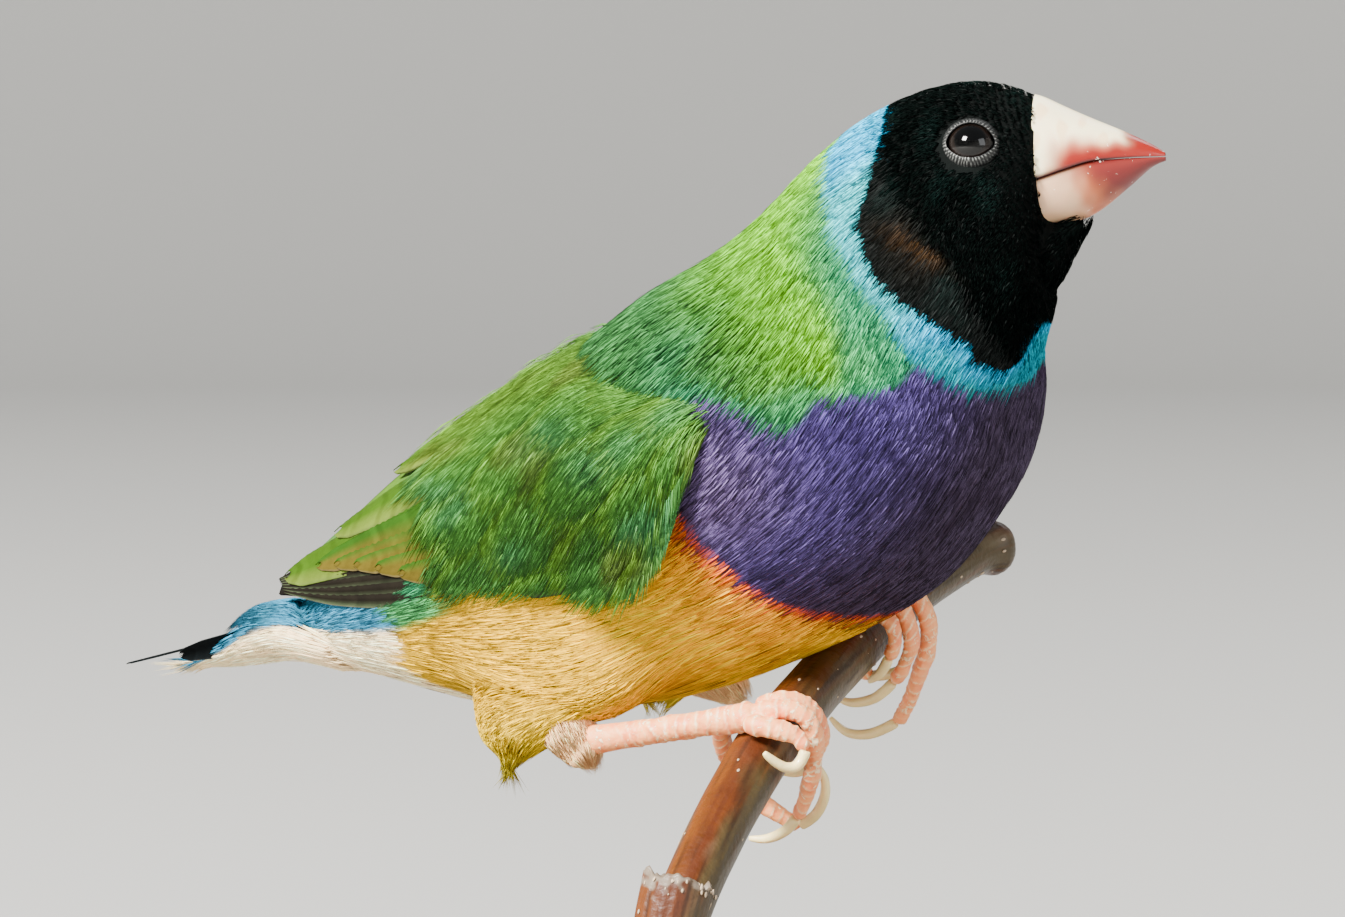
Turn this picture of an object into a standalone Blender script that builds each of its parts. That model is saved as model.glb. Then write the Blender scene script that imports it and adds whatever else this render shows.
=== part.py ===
"""A male Gouldian finch, life size and still, gripping a cut perch on a round display stand.

The bird faces +X, its left side is +Y and +Z is up. The origin is the centre of the
stand's underside. Sizes are in millimetres and become metres when a mesh is made.
"""

import math
import random
from collections import namedtuple

import bmesh
import bpy
import numpy as np
from mathutils import Vector

MM = 0.001
GAP = 0.3
SEED = 7
WELD = 0.001
SMOOTH_ANGLE = 40.0
COLLECTION_NAME = "gouldian_finch"
RIGHT = -1
LEFT = 1
SIDE_NAMES = {RIGHT: "right", LEFT: "left"}

# Body: sections across the bird's middle plane, from the bill's base to the tail's root.
# lean is the angle of a section's long axis above +X, in degrees.
Station = namedtuple("Station", "x z lean half_height half_width egg")
BODY_STATIONS = [
    Station(39.0, 97.4, 94.5, 6.5, 5.0, 0.0),
    Station(35.5, 94.9, 111.5, 11.4, 8.5, -0.05),
    Station(31.2, 91.3, 121.0, 14.2, 10.4, -0.10),
    Station(27.6, 86.3, 130.4, 16.4, 14.0, -0.10),
    Station(21.9, 78.0, 138.3, 18.4, 17.4, 0.0),
    Station(12.4, 69.7, 137.6, 20.7, 18.4, 0.0),
    Station(0.6, 62.2, 136.0, 19.2, 17.0, 0.0),
    Station(-12.6, 55.5, 134.1, 16.1, 13.4, 0.0),
    Station(-26.0, 50.8, 135.8, 11.0, 8.4, 0.0),
    Station(-35.6, 49.2, 143.2, 5.7, 4.4, 0.0),
]
BODY_SIDES = 28
HEAD_RINGS = 10
NECK_RINGS = 5
TORSO_RINGS = 18
# Places of the two parting cuts, counted in stations, and half of each cut.
HEAD_CUT = 2.3
HEAD_CUT_HALF = 0.03
NECK_CUT = 3.5
NECK_CUT_HALF = 0.022

# The head is turned to the bird's left about an upright line through the neck.
HEAD_YAW = 10.0
HEAD_PIVOT_X = 25.0
YAW_FULL_AT = 2.2

# Chin: black feathers that run forward between the branches of the lower mandible.
Section = namedtuple("Section", "x z lean half_height half_width egg")
CHIN_SECTIONS = [
    Section(36.2, 85.6, -32.0, 3.0, 5.0, 0.0),
    Section(37.8, 87.4, -32.0, 3.0, 4.5, 0.0),
    Section(39.9, 89.7, -32.0, 2.2, 3.4, 0.0),
    Section(42.5, 92.0, -34.0, 1.0, 1.9, 0.0),
    Section(43.9, 93.1, -36.0, 0.3, 0.6, 0.0),
]
CHIN_SIDES = 12

# Bill: sections along the head's own forward axis.
BillSection = namedtuple("BillSection", "x top gape bottom half_width")
BILL_SECTIONS = [
    BillSection(39.4, 103.8, 96.3, 91.3, 4.8),
    BillSection(41.4, 102.9, 97.0, 91.8, 4.35),
    BillSection(44.0, 101.8, 97.8, 93.0, 3.45),
    BillSection(47.0, 100.6, 98.1, 95.2, 2.2),
    BillSection(49.4, 99.5, 98.2, 97.1, 1.1),
    BillSection(50.9, 98.6, 98.25, 97.8, 0.3),
]
BILL_RINGS = 9
BILL_ARCH_STEPS = 10
BILL_LEAN = 0.08
BILL_LEAN_Z = 97.4
LOWER_WIDTH_SHARE = 0.94
NOSTRIL_PLACE = (40.6, 3.35, 101.3)
NOSTRIL_RADIUS = 0.5

# Eyes, placed in the head's own frame before it is turned.
EYE_PLACE = (32.6, 6.3, 99.1)
EYE_RADIUS = 2.5
EYE_UP_TILT = 20.0
EYE_FORWARD_TILT = 5.0
EYE_SEGMENTS = 16
EYE_RINGS = 9
LID_MAJOR = 2.6
LID_MINOR = 0.42
LID_OUT = 1.95
LID_MAJOR_SIDES = 20
LID_MINOR_SIDES = 6

# Folded wing: the upper and the lower edge of its outer sheet, from shoulder to tip, as
# (forward, outward, up), with the sheet's outward swell and the body's depth at each.
WingSection = namedtuple("WingSection", "top bottom swell depth")
WING_SECTIONS = [
    WingSection((13.6, 16.0, 76.0), (10.1, 19.0, 68.9), 1.0, 2.6),
    WingSection((5.0, 11.0, 79.8), (5.5, 19.0, 60.0), 3.8, 3.2),
    WingSection((-7.3, 3.2, 80.2), (-3.0, 17.0, 56.3), 6.0, 3.2),
    WingSection((-18.9, 0.9, 74.0), (-13.0, 14.0, 54.9), 4.6, 3.0),
    WingSection((-29.0, 0.6, 67.0), (-23.5, 10.5, 53.6), 3.4, 2.4),
    WingSection((-36.5, 0.7, 60.6), (-33.3, 7.0, 53.2), 2.0, 1.6),
    WingSection((-42.0, 1.8, 55.6), (-42.0, 3.4, 54.0), 0.2, 0.8),
]
WING_RINGS = 13
WING_ACROSS = 7

# Feathers: each tier gives its count, the places of its first and last root and tip as
# (along, across) shares of the surface it grows from, half of a vane's width, how high
# its root and tip stand off that surface, and how many lengths a vane is made of.
Tier = namedtuple("Tier", "count first_root last_root first_tip last_tip half_width root_lift tip_lift spans")
WING_TIERS = [
    Tier(6, (0.34, 0.95), (0.50, 0.88), (0.70, 0.96), (1.00, 0.55), 1.7, -0.5, 0.3, 4),
    Tier(5, (0.24, 0.86), (0.30, 0.60), (0.60, 0.88), (0.74, 0.64), 2.2, -0.5, 0.7, 3),
    Tier(3, (0.26, 0.56), (0.32, 0.22), (0.74, 0.60), (0.90, 0.24), 2.8, -0.5, 1.0, 4),
    Tier(7, (0.14, 0.88), (0.20, 0.16), (0.44, 0.90), (0.52, 0.18), 2.4, -0.4, 1.15, 2),
    Tier(6, (0.02, 0.84), (0.10, 0.18), (0.26, 0.86), (0.34, 0.20), 2.3, -0.3, 1.2, 2),
]
TAIL_TIERS = [
    Tier(5, (0.16, -70.0), (0.16, 70.0), (0.74, -50.0), (0.74, 50.0), 1.6, -0.4, 0.45, 2),
    Tier(6, (0.10, 112.0), (0.10, 248.0), (0.98, 150.0), (0.98, 210.0), 1.7, -0.4, 0.9, 3),
]
VANE_STOPS = {2: (0.0, 0.7, 1.0), 3: (0.0, 0.4, 0.8, 1.0), 4: (0.0, 0.3, 0.6, 0.85, 1.0)}
VANE_WIDTH_AT = ((0.0, 0.3, 0.75, 1.0), (0.55, 1.0, 0.92, 0.3))
VANE_THICKNESS = 0.55
VANE_RACHIS = 0.15
VANE_ROLL = 9.0
VANE_LENGTH_SPREAD = 0.04

# Tail: a core that carries the coverts and the tail feathers.
TAIL_SECTIONS = [
    Section(-35.8, 48.95, 143.2, 5.5, 4.3, 0.0),
    Section(-41.0, 50.1, 110.0, 3.1, 4.5, 0.0),
    Section(-45.6, 49.4, 95.0, 2.7, 3.9, 0.0),
    Section(-48.6, 48.0, 92.0, 1.6, 3.1, 0.0),
    Section(-50.8, 47.2, 90.0, 0.8, 2.2, 0.0),
]
TAIL_RINGS = 9
TAIL_SIDES = 16
TAIL_ROOM = 0.8
# Tail feathers: a fan about the middle pair, which is drawn out into fine points.
TAIL_FEATHERS = 10
TAIL_FEATHER_ROOT = (-42.0, 1.4, 49.2)
TAIL_FEATHER_TIP = (-54.5, 4.2, 46.8)
TAIL_FEATHER_DROP = 0.8
TAIL_FEATHER_SHORTER = 2.2
TAIL_FEATHER_HALF_WIDTH = 1.25
TAIL_FAN_ROLL = 14.0
TAIL_PIN_TIP = (-60.2, 0.5, 45.9)
TAIL_PIN_HALF_WIDTH = 0.9

# Perch: points along its axis with the bark's radius at each.
PerchPoint = namedtuple("PerchPoint", "x y z radius")
PERCH_POINTS = [
    PerchPoint(15.3, -38.4, 17.0, 2.8),
    PerchPoint(14.7, -36.4, 22.6, 2.8),
    PerchPoint(14.2, -27.5, 30.0, 2.85),
    PerchPoint(14.1, -14.0, 38.2, 2.95),
    PerchPoint(14.5, -5.5, 42.5, 2.95),
    PerchPoint(14.6, 6.5, 46.9, 2.85),
    PerchPoint(15.3, 16.0, 50.4, 2.7),
    PerchPoint(16.5, 24.0, 53.7, 2.5),
    PerchPoint(19.2, 33.8, 57.1, 2.35),
    PerchPoint(20.5, 37.4, 57.9, 2.95),
    PerchPoint(21.3, 39.4, 58.2, 2.6),
]
PERCH_SPANS = 22
# Stem: the cut main shoot that the perch grows from.
STEM_POINTS = [
    PerchPoint(15.4, -39.0, 13.6, 3.1),
    PerchPoint(15.4, -38.8, 19.0, 3.05),
    PerchPoint(15.5, -38.0, 24.5, 2.95),
    PerchPoint(15.6, -37.2, 28.8, 2.75),
]
STEM_SPANS = 6

# Stand
BASE_RADIUS = 48.0
BASE_HEIGHT = 6.0
BASE_SIDES = 48
BASE_EDGE = 1.2
ROD_RADIUS = 1.6
ROD_SIDES = 14

# Thighs: level sections of the feathered leg, as (forward, outward, up, half sizes).
ThighSection = namedtuple("ThighSection", "x side z half_x half_y")
THIGH_SECTIONS = {
    RIGHT: [
        ThighSection(-8.5, 8.0, 51.0, 9.3, 5.0),
        ThighSection(-8.9, 10.4, 45.2, 8.0, 4.4),
        ThighSection(-10.2, 11.6, 42.2, 5.8, 3.4),
        ThighSection(-11.4, 12.0, 40.3, 3.9, 2.4),
        ThighSection(-12.0, 12.0, 39.0, 1.9, 1.2),
        ThighSection(-12.2, 12.0, 37.9, 0.4, 0.4),
    ],
    LEFT: [
        ThighSection(-7.0, 10.0, 52.0, 7.5, 4.6),
        ThighSection(-6.8, 13.0, 48.5, 6.6, 4.2),
        ThighSection(-6.9, 15.2, 45.6, 5.0, 3.2),
        ThighSection(-7.6, 16.0, 43.6, 2.8, 2.0),
        ThighSection(-8.0, 16.2, 42.2, 0.6, 0.5),
    ],
}
THIGH_SIDES = 14
TIBIA_RADII = (3.2, 2.6, 1.9)

# Feet: each grips the perch at a place given by its Y there. Way points are (forward,
# up, along) from the perch's axis at that place.
TubePoint = namedtuple("TubePoint", "forward up along radius")
GRIP_Y = {RIGHT: -12.0, LEFT: 14.5}
HEEL_PLACE = {RIGHT: (-5.2, -12.0, 40.2), LEFT: (-1.6, 17.0, 45.0)}
TIBIA_TOP = {RIGHT: (-9.0, -11.4, 44.0), LEFT: (-6.6, 14.4, 48.0)}
TARSUS_RADII = (1.55, 1.3, 1.25, 1.45)
KNUCKLE = {RIGHT: (-0.4, 4.5, 0.0), LEFT: (-0.6, 4.3, 0.0)}
TOES = {
    RIGHT: {
        "1": [(-1.2, 4.5, 0.4, 1.0), (-4.0, 2.9, 2.0, 1.0), (-5.4, 0.0, 3.2, 0.95),
              (-5.5, -2.5, 3.6, 0.9), (-4.4, -5.5, 3.8, 0.9), (-2.9, -8.2, 3.8, 0.95),
              (-0.9, -9.8, 3.8, 0.75)],
        "2": [(-0.2, 4.5, 1.6, 0.95), (2.4, 4.5, 3.2, 0.9), (4.4, 2.4, 4.5, 0.85),
              (4.5, -0.8, 5.0, 0.8), (3.4, -3.1, 5.0, 0.65)],
        "3": [(-0.2, 4.5, 0.2, 1.05), (2.2, 4.9, 0.8, 1.0), (4.6, 4.2, 1.3, 0.95),
              (5.6, 2.0, 1.5, 0.9), (4.9, -1.3, 1.5, 0.85), (3.7, -4.4, 1.5, 0.8),
              (2.6, -6.6, 1.5, 0.7)],
        "4": [(-0.3, 4.4, -1.3, 1.0), (1.9, 4.4, -1.5, 1.0), (3.9, 3.7, -1.3, 0.95),
              (5.1, 2.9, -1.1, 0.75)],
    },
    LEFT: {
        "1": [(-1.2, 4.2, -0.2, 0.95), (-3.5, 2.5, 0.0, 0.95), (-4.1, 0.0, 0.2, 0.9),
              (-3.1, -2.9, 0.2, 0.8), (-1.6, -4.0, 0.2, 0.65)],
        "2": [(-0.2, 4.3, -1.4, 0.9), (2.6, 4.3, -2.6, 0.9), (4.8, 2.8, -3.2, 0.8),
              (5.0, 0.8, -3.4, 0.65)],
        "3": [(-0.2, 4.5, 0.2, 1.0), (2.4, 4.9, 1.0, 1.0), (5.1, 4.1, 1.5, 0.95),
              (6.4, 1.8, 1.5, 0.9), (6.1, -1.4, 1.5, 0.85), (4.3, -5.1, 1.5, 0.8),
              (2.5, -8.4, 1.5, 0.7)],
        "4": [(0.0, 4.4, -0.6, 0.9), (2.8, 4.7, -0.9, 0.9), (5.2, 3.3, -1.0, 0.85),
              (5.6, -0.1, -1.0, 0.8), (4.2, -2.9, -1.0, 0.65)],
    },
}
CLAWS = {
    RIGHT: {
        "1": [(0.8, -10.4, 3.6), (2.7, -9.1, 3.4), (4.2, -6.8, 3.4), (4.6, -4.5, 3.4), (3.9, -2.8, 3.4)],
        "2": [(2.4, -4.4, 5.0), (0.9, -5.1, 5.0), (-0.9, -4.9, 5.0), (-2.1, -4.1, 5.0)],
        "3": [(1.7, -8.0, 1.3), (0.3, -9.5, 1.1), (-1.9, -10.4, 0.8), (-3.7, -10.2, 0.6)],
        "4": [(5.9, 1.9, -1.7), (5.3, 0.8, -2.7), (4.3, 1.1, -3.7), (3.3, 2.6, -4.4), (2.9, 3.4, -4.6)],
    },
    LEFT: {
        "1": [(-0.1, -4.5, 0.2), (1.6, -4.4, 0.2), (2.9, -3.6, 0.2)],
        "2": [(4.0, -0.9, -3.4), (2.8, -2.6, -3.4), (1.2, -3.6, -3.4)],
        "3": [(1.0, -10.2, 1.5), (-2.0, -11.6, 1.5), (-4.9, -11.6, 1.5), (-6.5, -9.9, 1.5)],
        "4": [(2.8, -4.6, -1.0), (0.4, -6.5, -1.0), (-2.5, -7.1, -1.0), (-3.9, -6.5, -1.0)],
    },
}
CLAW_ROOT_RADIUS = 0.62
CLAW_TIP_RADIUS = 0.25
TOE_SPANS_PER_POINT = 2
FLESH_CLEARANCE = 0.35

# Colour, roughness and metallic value of each finish.
FINISHES = {
    "mask_black": ((0.012, 0.013, 0.015), 0.6, 0.0),
    "nape_green": ((0.35, 0.50, 0.10), 0.7, 0.0),
    "breast_purple": ((0.14, 0.09, 0.30), 0.7, 0.0),
    "wing_green": ((0.16, 0.36, 0.08), 0.65, 0.0),
    "tail_blue": ((0.05, 0.22, 0.42), 0.65, 0.0),
    "belly_gold": ((0.85, 0.48, 0.05), 0.75, 0.0),
    "bill_ivory": ((0.86, 0.74, 0.64), 0.35, 0.0),
    "bill_coral": ((0.80, 0.25, 0.18), 0.35, 0.0),
    "eye_dark": ((0.01, 0.008, 0.007), 0.05, 0.0),
    "leg_pink": ((0.85, 0.60, 0.50), 0.55, 0.0),
    "claw_cream": ((0.85, 0.77, 0.58), 0.4, 0.0),
    "bark_brown": ((0.16, 0.07, 0.03), 0.45, 0.0),
    "stand_wood": ((0.10, 0.06, 0.04), 0.4, 0.0),
    "stand_steel": ((0.60, 0.60, 0.60), 0.3, 1.0),
}


def reset_scene():
    """Remove every object and return the part's new collection."""
    for leftover in list(bpy.data.objects):
        bpy.data.objects.remove(leftover)
    collection = bpy.data.collections.new(COLLECTION_NAME)
    bpy.context.scene.collection.children.link(collection)
    return collection


def finish(name):
    """The named finish as a material, made once."""
    found = bpy.data.materials.get(name)
    if found:
        return found
    colour, roughness, metallic = FINISHES[name]
    material = bpy.data.materials.new(name)
    material.use_nodes = True
    shader = material.node_tree.nodes["Principled BSDF"]
    shader.inputs["Base Color"].default_value = (*colour, 1.0)
    shader.inputs["Roughness"].default_value = roughness
    shader.inputs["Metallic"].default_value = metallic
    return material


def spline(rows, params):
    """Values of a Catmull-Rom curve through rows, at params counted in rows."""
    rows = np.asarray(rows, float)
    last = len(rows) - 1
    params = np.clip(np.asarray(params, float), 0, last)
    low = np.clip(np.floor(params).astype(int), 0, last - 1)
    f = (params - low)[:, None]
    before = rows[np.clip(low - 1, 0, last)]
    here = rows[low]
    after = rows[low + 1]
    beyond = rows[np.clip(low + 2, 0, last)]
    slope = after - before
    bend = 2 * before - 5 * here + 4 * after - beyond
    twist = 3 * here - before - 3 * after + beyond
    return 0.5 * (2 * here + slope * f + bend * f**2 + twist * f**3)


def ease(value):
    """A smooth step from 0 to 1."""
    value = min(max(value, 0.0), 1.0)
    return value * value * (3 - 2 * value)


def new_object(name, mesh):
    """An object with that mesh in the part's collection."""
    made = bpy.data.objects.new(name, mesh)
    bpy.data.collections[COLLECTION_NAME].objects.link(made)
    return made


def loft(name, rings):
    """A closed body through equal rings of points, each end closed by a fan.

    The two halves of a ring are split by mirrored diagonals, so a thin curved body
    keeps like triangles on both of its faces.
    """
    rings = np.asarray(rings, float)
    count, sides = rings.shape[:2]
    bm = bmesh.new()
    grid = [[bm.verts.new(point * MM) for point in ring] for ring in rings]
    for low, high in zip(grid, grid[1:]):
        for j in range(sides):
            k = (j + 1) % sides
            if j < sides // 2:
                bm.faces.new((low[j], low[k], high[k]))
                bm.faces.new((low[j], high[k], high[j]))
            else:
                bm.faces.new((low[j], low[k], high[j]))
                bm.faces.new((low[k], high[k], high[j]))
    for ring, points in ((grid[0], rings[0]), (grid[-1], rings[-1])):
        centre = bm.verts.new(points.mean(axis=0) * MM)
        for j in range(sides):
            bm.faces.new((centre, ring[j], ring[(j + 1) % sides]))
    bmesh.ops.recalc_face_normals(bm, faces=bm.faces)
    mesh = bpy.data.meshes.new(name)
    bm.to_mesh(mesh)
    bm.free()
    return new_object(name, mesh)


def tube(name, points, radii, resolution=2):
    """A closed round tube along points, with a radius at each, as a mesh object."""
    curve = bpy.data.curves.new(name, "CURVE")
    curve.dimensions = "3D"
    curve.bevel_depth = MM
    curve.bevel_resolution = resolution
    curve.use_fill_caps = True
    path = curve.splines.new("POLY")
    path.points.add(len(points) - 1)
    for slot, point, radius in zip(path.points, points, radii):
        slot.co = (*(Vector(point) * MM), 1.0)
        slot.radius = radius
    drawn = new_object(name + "_curve", curve)
    graph = bpy.context.evaluated_depsgraph_get()
    mesh = bpy.data.meshes.new_from_object(drawn.evaluated_get(graph))
    bpy.data.objects.remove(drawn)
    bm = bmesh.new()
    bm.from_mesh(mesh)
    bmesh.ops.remove_doubles(bm, verts=bm.verts, dist=WELD * MM)
    bmesh.ops.triangulate(bm, faces=bm.faces)
    bmesh.ops.recalc_face_normals(bm, faces=bm.faces)
    bm.to_mesh(mesh)
    bm.free()
    return new_object(name, mesh)


def smooth_tube(name, rows, spans, resolution=2, grow=0.0):
    """A tube through rows of (x, y, z, radius), read from a smooth curve in spans steps."""
    values = spline(rows, np.linspace(0, len(rows) - 1, spans + 1))
    return tube(name, values[:, :3], values[:, 3] + grow, resolution)


def sphere(name, centre, radius, segments, rings):
    """A closed ball."""
    bm = bmesh.new()
    bmesh.ops.create_uvsphere(bm, u_segments=segments, v_segments=rings, radius=radius * MM)
    bmesh.ops.translate(bm, verts=bm.verts, vec=Vector(centre) * MM)
    mesh = bpy.data.meshes.new(name)
    bm.to_mesh(mesh)
    bm.free()
    return new_object(name, mesh)


def apply_modifiers(target):
    """Replace the object's mesh by the evaluated one."""
    graph = bpy.context.evaluated_depsgraph_get()
    mesh = bpy.data.meshes.new_from_object(target.evaluated_get(graph))
    target.modifiers.clear()
    target.data = mesh


def cut(target, cutter, solver="EXACT"):
    """Take the cutter's volume off the target and remove the cutter."""
    step = target.modifiers.new("cut", "BOOLEAN")
    step.operation = "DIFFERENCE"
    step.solver = solver
    step.object = cutter
    apply_modifiers(target)
    bpy.data.objects.remove(cutter)


def fuse(target, pieces, solver="EXACT"):
    """Join the pieces to the target by one union and remove them."""
    holder = bpy.data.collections.new(target.name + "_pieces")
    bpy.context.scene.collection.children.link(holder)
    for piece in pieces:
        holder.objects.link(piece)
        bpy.data.collections[COLLECTION_NAME].objects.unlink(piece)
    step = target.modifiers.new("fuse", "BOOLEAN")
    step.operation = "UNION"
    step.solver = solver
    step.operand_type = "COLLECTION"
    step.collection = holder
    apply_modifiers(target)
    for piece in pieces:
        bpy.data.objects.remove(piece)
    bpy.data.collections.remove(holder)


def keep_largest(target):
    """Keep the target's largest closed surface only."""
    bm = bmesh.new()
    bm.from_mesh(target.data)
    unseen = set(bm.faces)
    shells = []
    while unseen:
        front = [unseen.pop()]
        shell = list(front)
        while front:
            face = front.pop()
            for edge in face.edges:
                for other in edge.link_faces:
                    if other in unseen:
                        unseen.remove(other)
                        front.append(other)
                        shell.append(other)
        shells.append(shell)
    shells.sort(key=lambda shell: sum(face.calc_area() for face in shell))
    spare = [face for shell in shells[:-1] for face in shell]
    bmesh.ops.delete(bm, geom=spare, context="FACES")
    bmesh.ops.triangulate(bm, faces=bm.faces)
    bm.to_mesh(target.data)
    bm.free()


def complete(target, finish_name):
    """Give a finished sub-part its material and smooth shading."""
    keep_largest(target)
    target.data.materials.clear()
    target.data.materials.append(finish(finish_name))
    target.data.shade_smooth()
    target.data.set_sharp_from_angle(angle=math.radians(SMOOTH_ANGLE))
    return target


def turned(points, yaw_degrees):
    """Points turned to the bird's left about the upright line through the neck."""
    yaw = math.radians(yaw_degrees)
    points = np.array(points, float)
    forward = points[:, 0] - HEAD_PIVOT_X
    side = points[:, 1].copy()
    points[:, 0] = HEAD_PIVOT_X + forward * math.cos(yaw) - side * math.sin(yaw)
    points[:, 1] = forward * math.sin(yaw) + side * math.cos(yaw)
    return points


def oval(section, sides, grow=0.0):
    """The ring of an egg-shaped section across the bird's middle plane."""
    x, z, lean, half_height, half_width, egg = section
    around = np.linspace(0, math.tau, sides, endpoint=False)
    up = (half_height + grow) * np.cos(around)
    side = (half_width + grow) * np.sin(around) * (1 + egg * np.cos(around))
    tilt = math.radians(lean)
    return np.stack([x + up * math.cos(tilt), side, z + up * math.sin(tilt)], axis=1)


def body_rings(start, end, count, grow=0.0):
    """Rings of the body between two places along its stations."""
    places = np.linspace(start, end, count)
    rings = []
    for place, section in zip(places, spline(BODY_STATIONS, places)):
        yaw = HEAD_YAW * ease((NECK_CUT - place) / (NECK_CUT - YAW_FULL_AT))
        rings.append(turned(oval(section, BODY_SIDES, grow), yaw))
    return rings


def chin_rings(grow=0.0):
    """Rings of the chin's wedge, turned with the head."""
    return [turned(oval(section, CHIN_SIDES, grow), HEAD_YAW) for section in CHIN_SECTIONS]


def eye_axis(side):
    """The centre of an eye and its outward direction."""
    x, out, z = EYE_PLACE
    up = math.radians(EYE_UP_TILT)
    forward = math.radians(EYE_FORWARD_TILT)
    direction = (math.sin(forward), side * math.cos(up) * math.cos(forward), math.sin(up))
    ends = turned([(x, side * out, z), (x + direction[0], side * out + direction[1], z + direction[2])],
                  HEAD_YAW)
    return Vector(ends[0]), Vector(ends[1] - ends[0]).normalized()


def lid_ring(side):
    """The raised ring of bare lid round an eye."""
    centre, outward = eye_axis(side)
    bpy.ops.mesh.primitive_torus_add(
        major_radius=LID_MAJOR * MM,
        minor_radius=LID_MINOR * MM,
        major_segments=LID_MAJOR_SIDES,
        minor_segments=LID_MINOR_SIDES,
    )
    ring = bpy.context.object
    for holder in list(ring.users_collection):
        holder.objects.unlink(ring)
    bpy.data.collections[COLLECTION_NAME].objects.link(ring)
    turn = outward.to_track_quat("Z", "Y").to_matrix().to_4x4()
    turn.translation = (centre + outward * LID_OUT) * MM
    ring.data.transform(turn)
    return ring


def build_head():
    """The head with its chin, its eye sockets and its lids."""
    head = loft("head", body_rings(0, HEAD_CUT - HEAD_CUT_HALF, HEAD_RINGS))
    fuse(head, [loft("chin", chin_rings())])
    for side in (RIGHT, LEFT):
        centre = eye_axis(side)[0]
        cut(head, sphere("socket", centre, EYE_RADIUS + GAP, EYE_SEGMENTS, EYE_RINGS))
        fuse(head, [lid_ring(side)])
    return complete(head, "mask_black")


def build_neck():
    """The neck between the two parting cuts."""
    rings = body_rings(HEAD_CUT + HEAD_CUT_HALF, NECK_CUT - NECK_CUT_HALF, NECK_RINGS)
    return complete(loft("neck", rings), "nape_green")


def bill_half(name, is_upper):
    """One mandible: arched sections over a flat cutting face."""
    rings = []
    arch = np.linspace(0, math.pi, BILL_ARCH_STEPS + 1)
    for x, top, gape, bottom, half_width in spline(
        BILL_SECTIONS, np.linspace(0, len(BILL_SECTIONS) - 1, BILL_RINGS)
    ):
        edge = gape if is_upper else gape - GAP
        reach = top - edge if is_upper else bottom - edge
        width = half_width if is_upper else half_width * LOWER_WIDTH_SHARE
        side = width * np.cos(arch)
        up = edge + reach * np.sin(arch)
        forward = x - BILL_LEAN * (up - BILL_LEAN_Z)
        rings.append(turned(np.stack([forward, side, up], axis=1), HEAD_YAW))
    return loft(name, rings)


def build_bill():
    """The two mandibles, with nostrils in the upper one and room for the chin in the lower."""
    upper = bill_half("bill_upper", True)
    for side in (RIGHT, LEFT):
        x, out, z = NOSTRIL_PLACE
        centre = turned([(x, side * out, z)], HEAD_YAW)[0]
        cut(upper, sphere("nostril", centre, NOSTRIL_RADIUS, 8, 6))
    lower = bill_half("bill_lower", False)
    cut(lower, loft("chin_room", chin_rings(GAP)))
    return complete(upper, "bill_ivory"), complete(lower, "bill_coral")


def build_eyes():
    """The two eyes."""
    for side in (RIGHT, LEFT):
        centre = eye_axis(side)[0]
        eye = sphere("eye_" + SIDE_NAMES[side], centre, EYE_RADIUS, EYE_SEGMENTS, EYE_RINGS)
        complete(eye, "eye_dark")


def torso_cutter():
    """The torso's own volume, grown by the gap."""
    return loft("torso_room", body_rings(NECK_CUT - 1, len(BODY_STATIONS) - 1, TORSO_RINGS, GAP))


def tail_rings(grow=0.0):
    """Rings of the tail's core."""
    places = np.linspace(0, len(TAIL_SECTIONS) - 1, TAIL_RINGS)
    return [oval(section, TAIL_SIDES, grow) for section in spline(TAIL_SECTIONS, places)]


def wing_point(along, across):
    """A point of the right wing's outer sheet, from shoulder to tip and from top to bottom."""
    rows = [(*section.top, *section.bottom, section.swell) for section in WING_SECTIONS]
    values = spline(rows, [along * (len(rows) - 1)])[0]
    top, bottom, swell = Vector(values[:3]), Vector(values[3:6]), values[6]
    chord = bottom - top
    out = Vector((0.0, -chord.z, chord.y)).normalized()
    point = top + chord * across + out * swell * math.sin(math.pi * across)
    return Vector((point.x, -point.y, point.z))


def wing_frame(along, across):
    """A point of the right wing's sheet with the sheet's outward direction there."""
    step = 0.02
    low = wing_point(max(along - step, 0), across)
    high = wing_point(min(along + step, 1), across)
    left = wing_point(along, max(across - step, 0))
    right = wing_point(along, min(across + step, 1))
    outward = (high - low).cross(right - left).normalized()
    if outward.y > 0:
        outward = -outward
    return wing_point(along, across), outward


def wing_core(side):
    """The folded wing's body under its feathers."""
    depths = [[section.depth] for section in WING_SECTIONS]
    rings = []
    for along in np.linspace(0, 1, WING_RINGS):
        depth = spline(depths, [along * (len(depths) - 1)])[0][0]
        frames = [wing_frame(along, across) for across in np.linspace(0, 1, WING_ACROSS)]
        outer = [point for point, outward in frames]
        inner = [point - outward * depth for point, outward in reversed(frames)]
        rings.append([(p.x, -side * min(p.y, -GAP / 2), p.z) for p in outer + inner])
    return loft("wing_" + SIDE_NAMES[side], rings)


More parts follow.
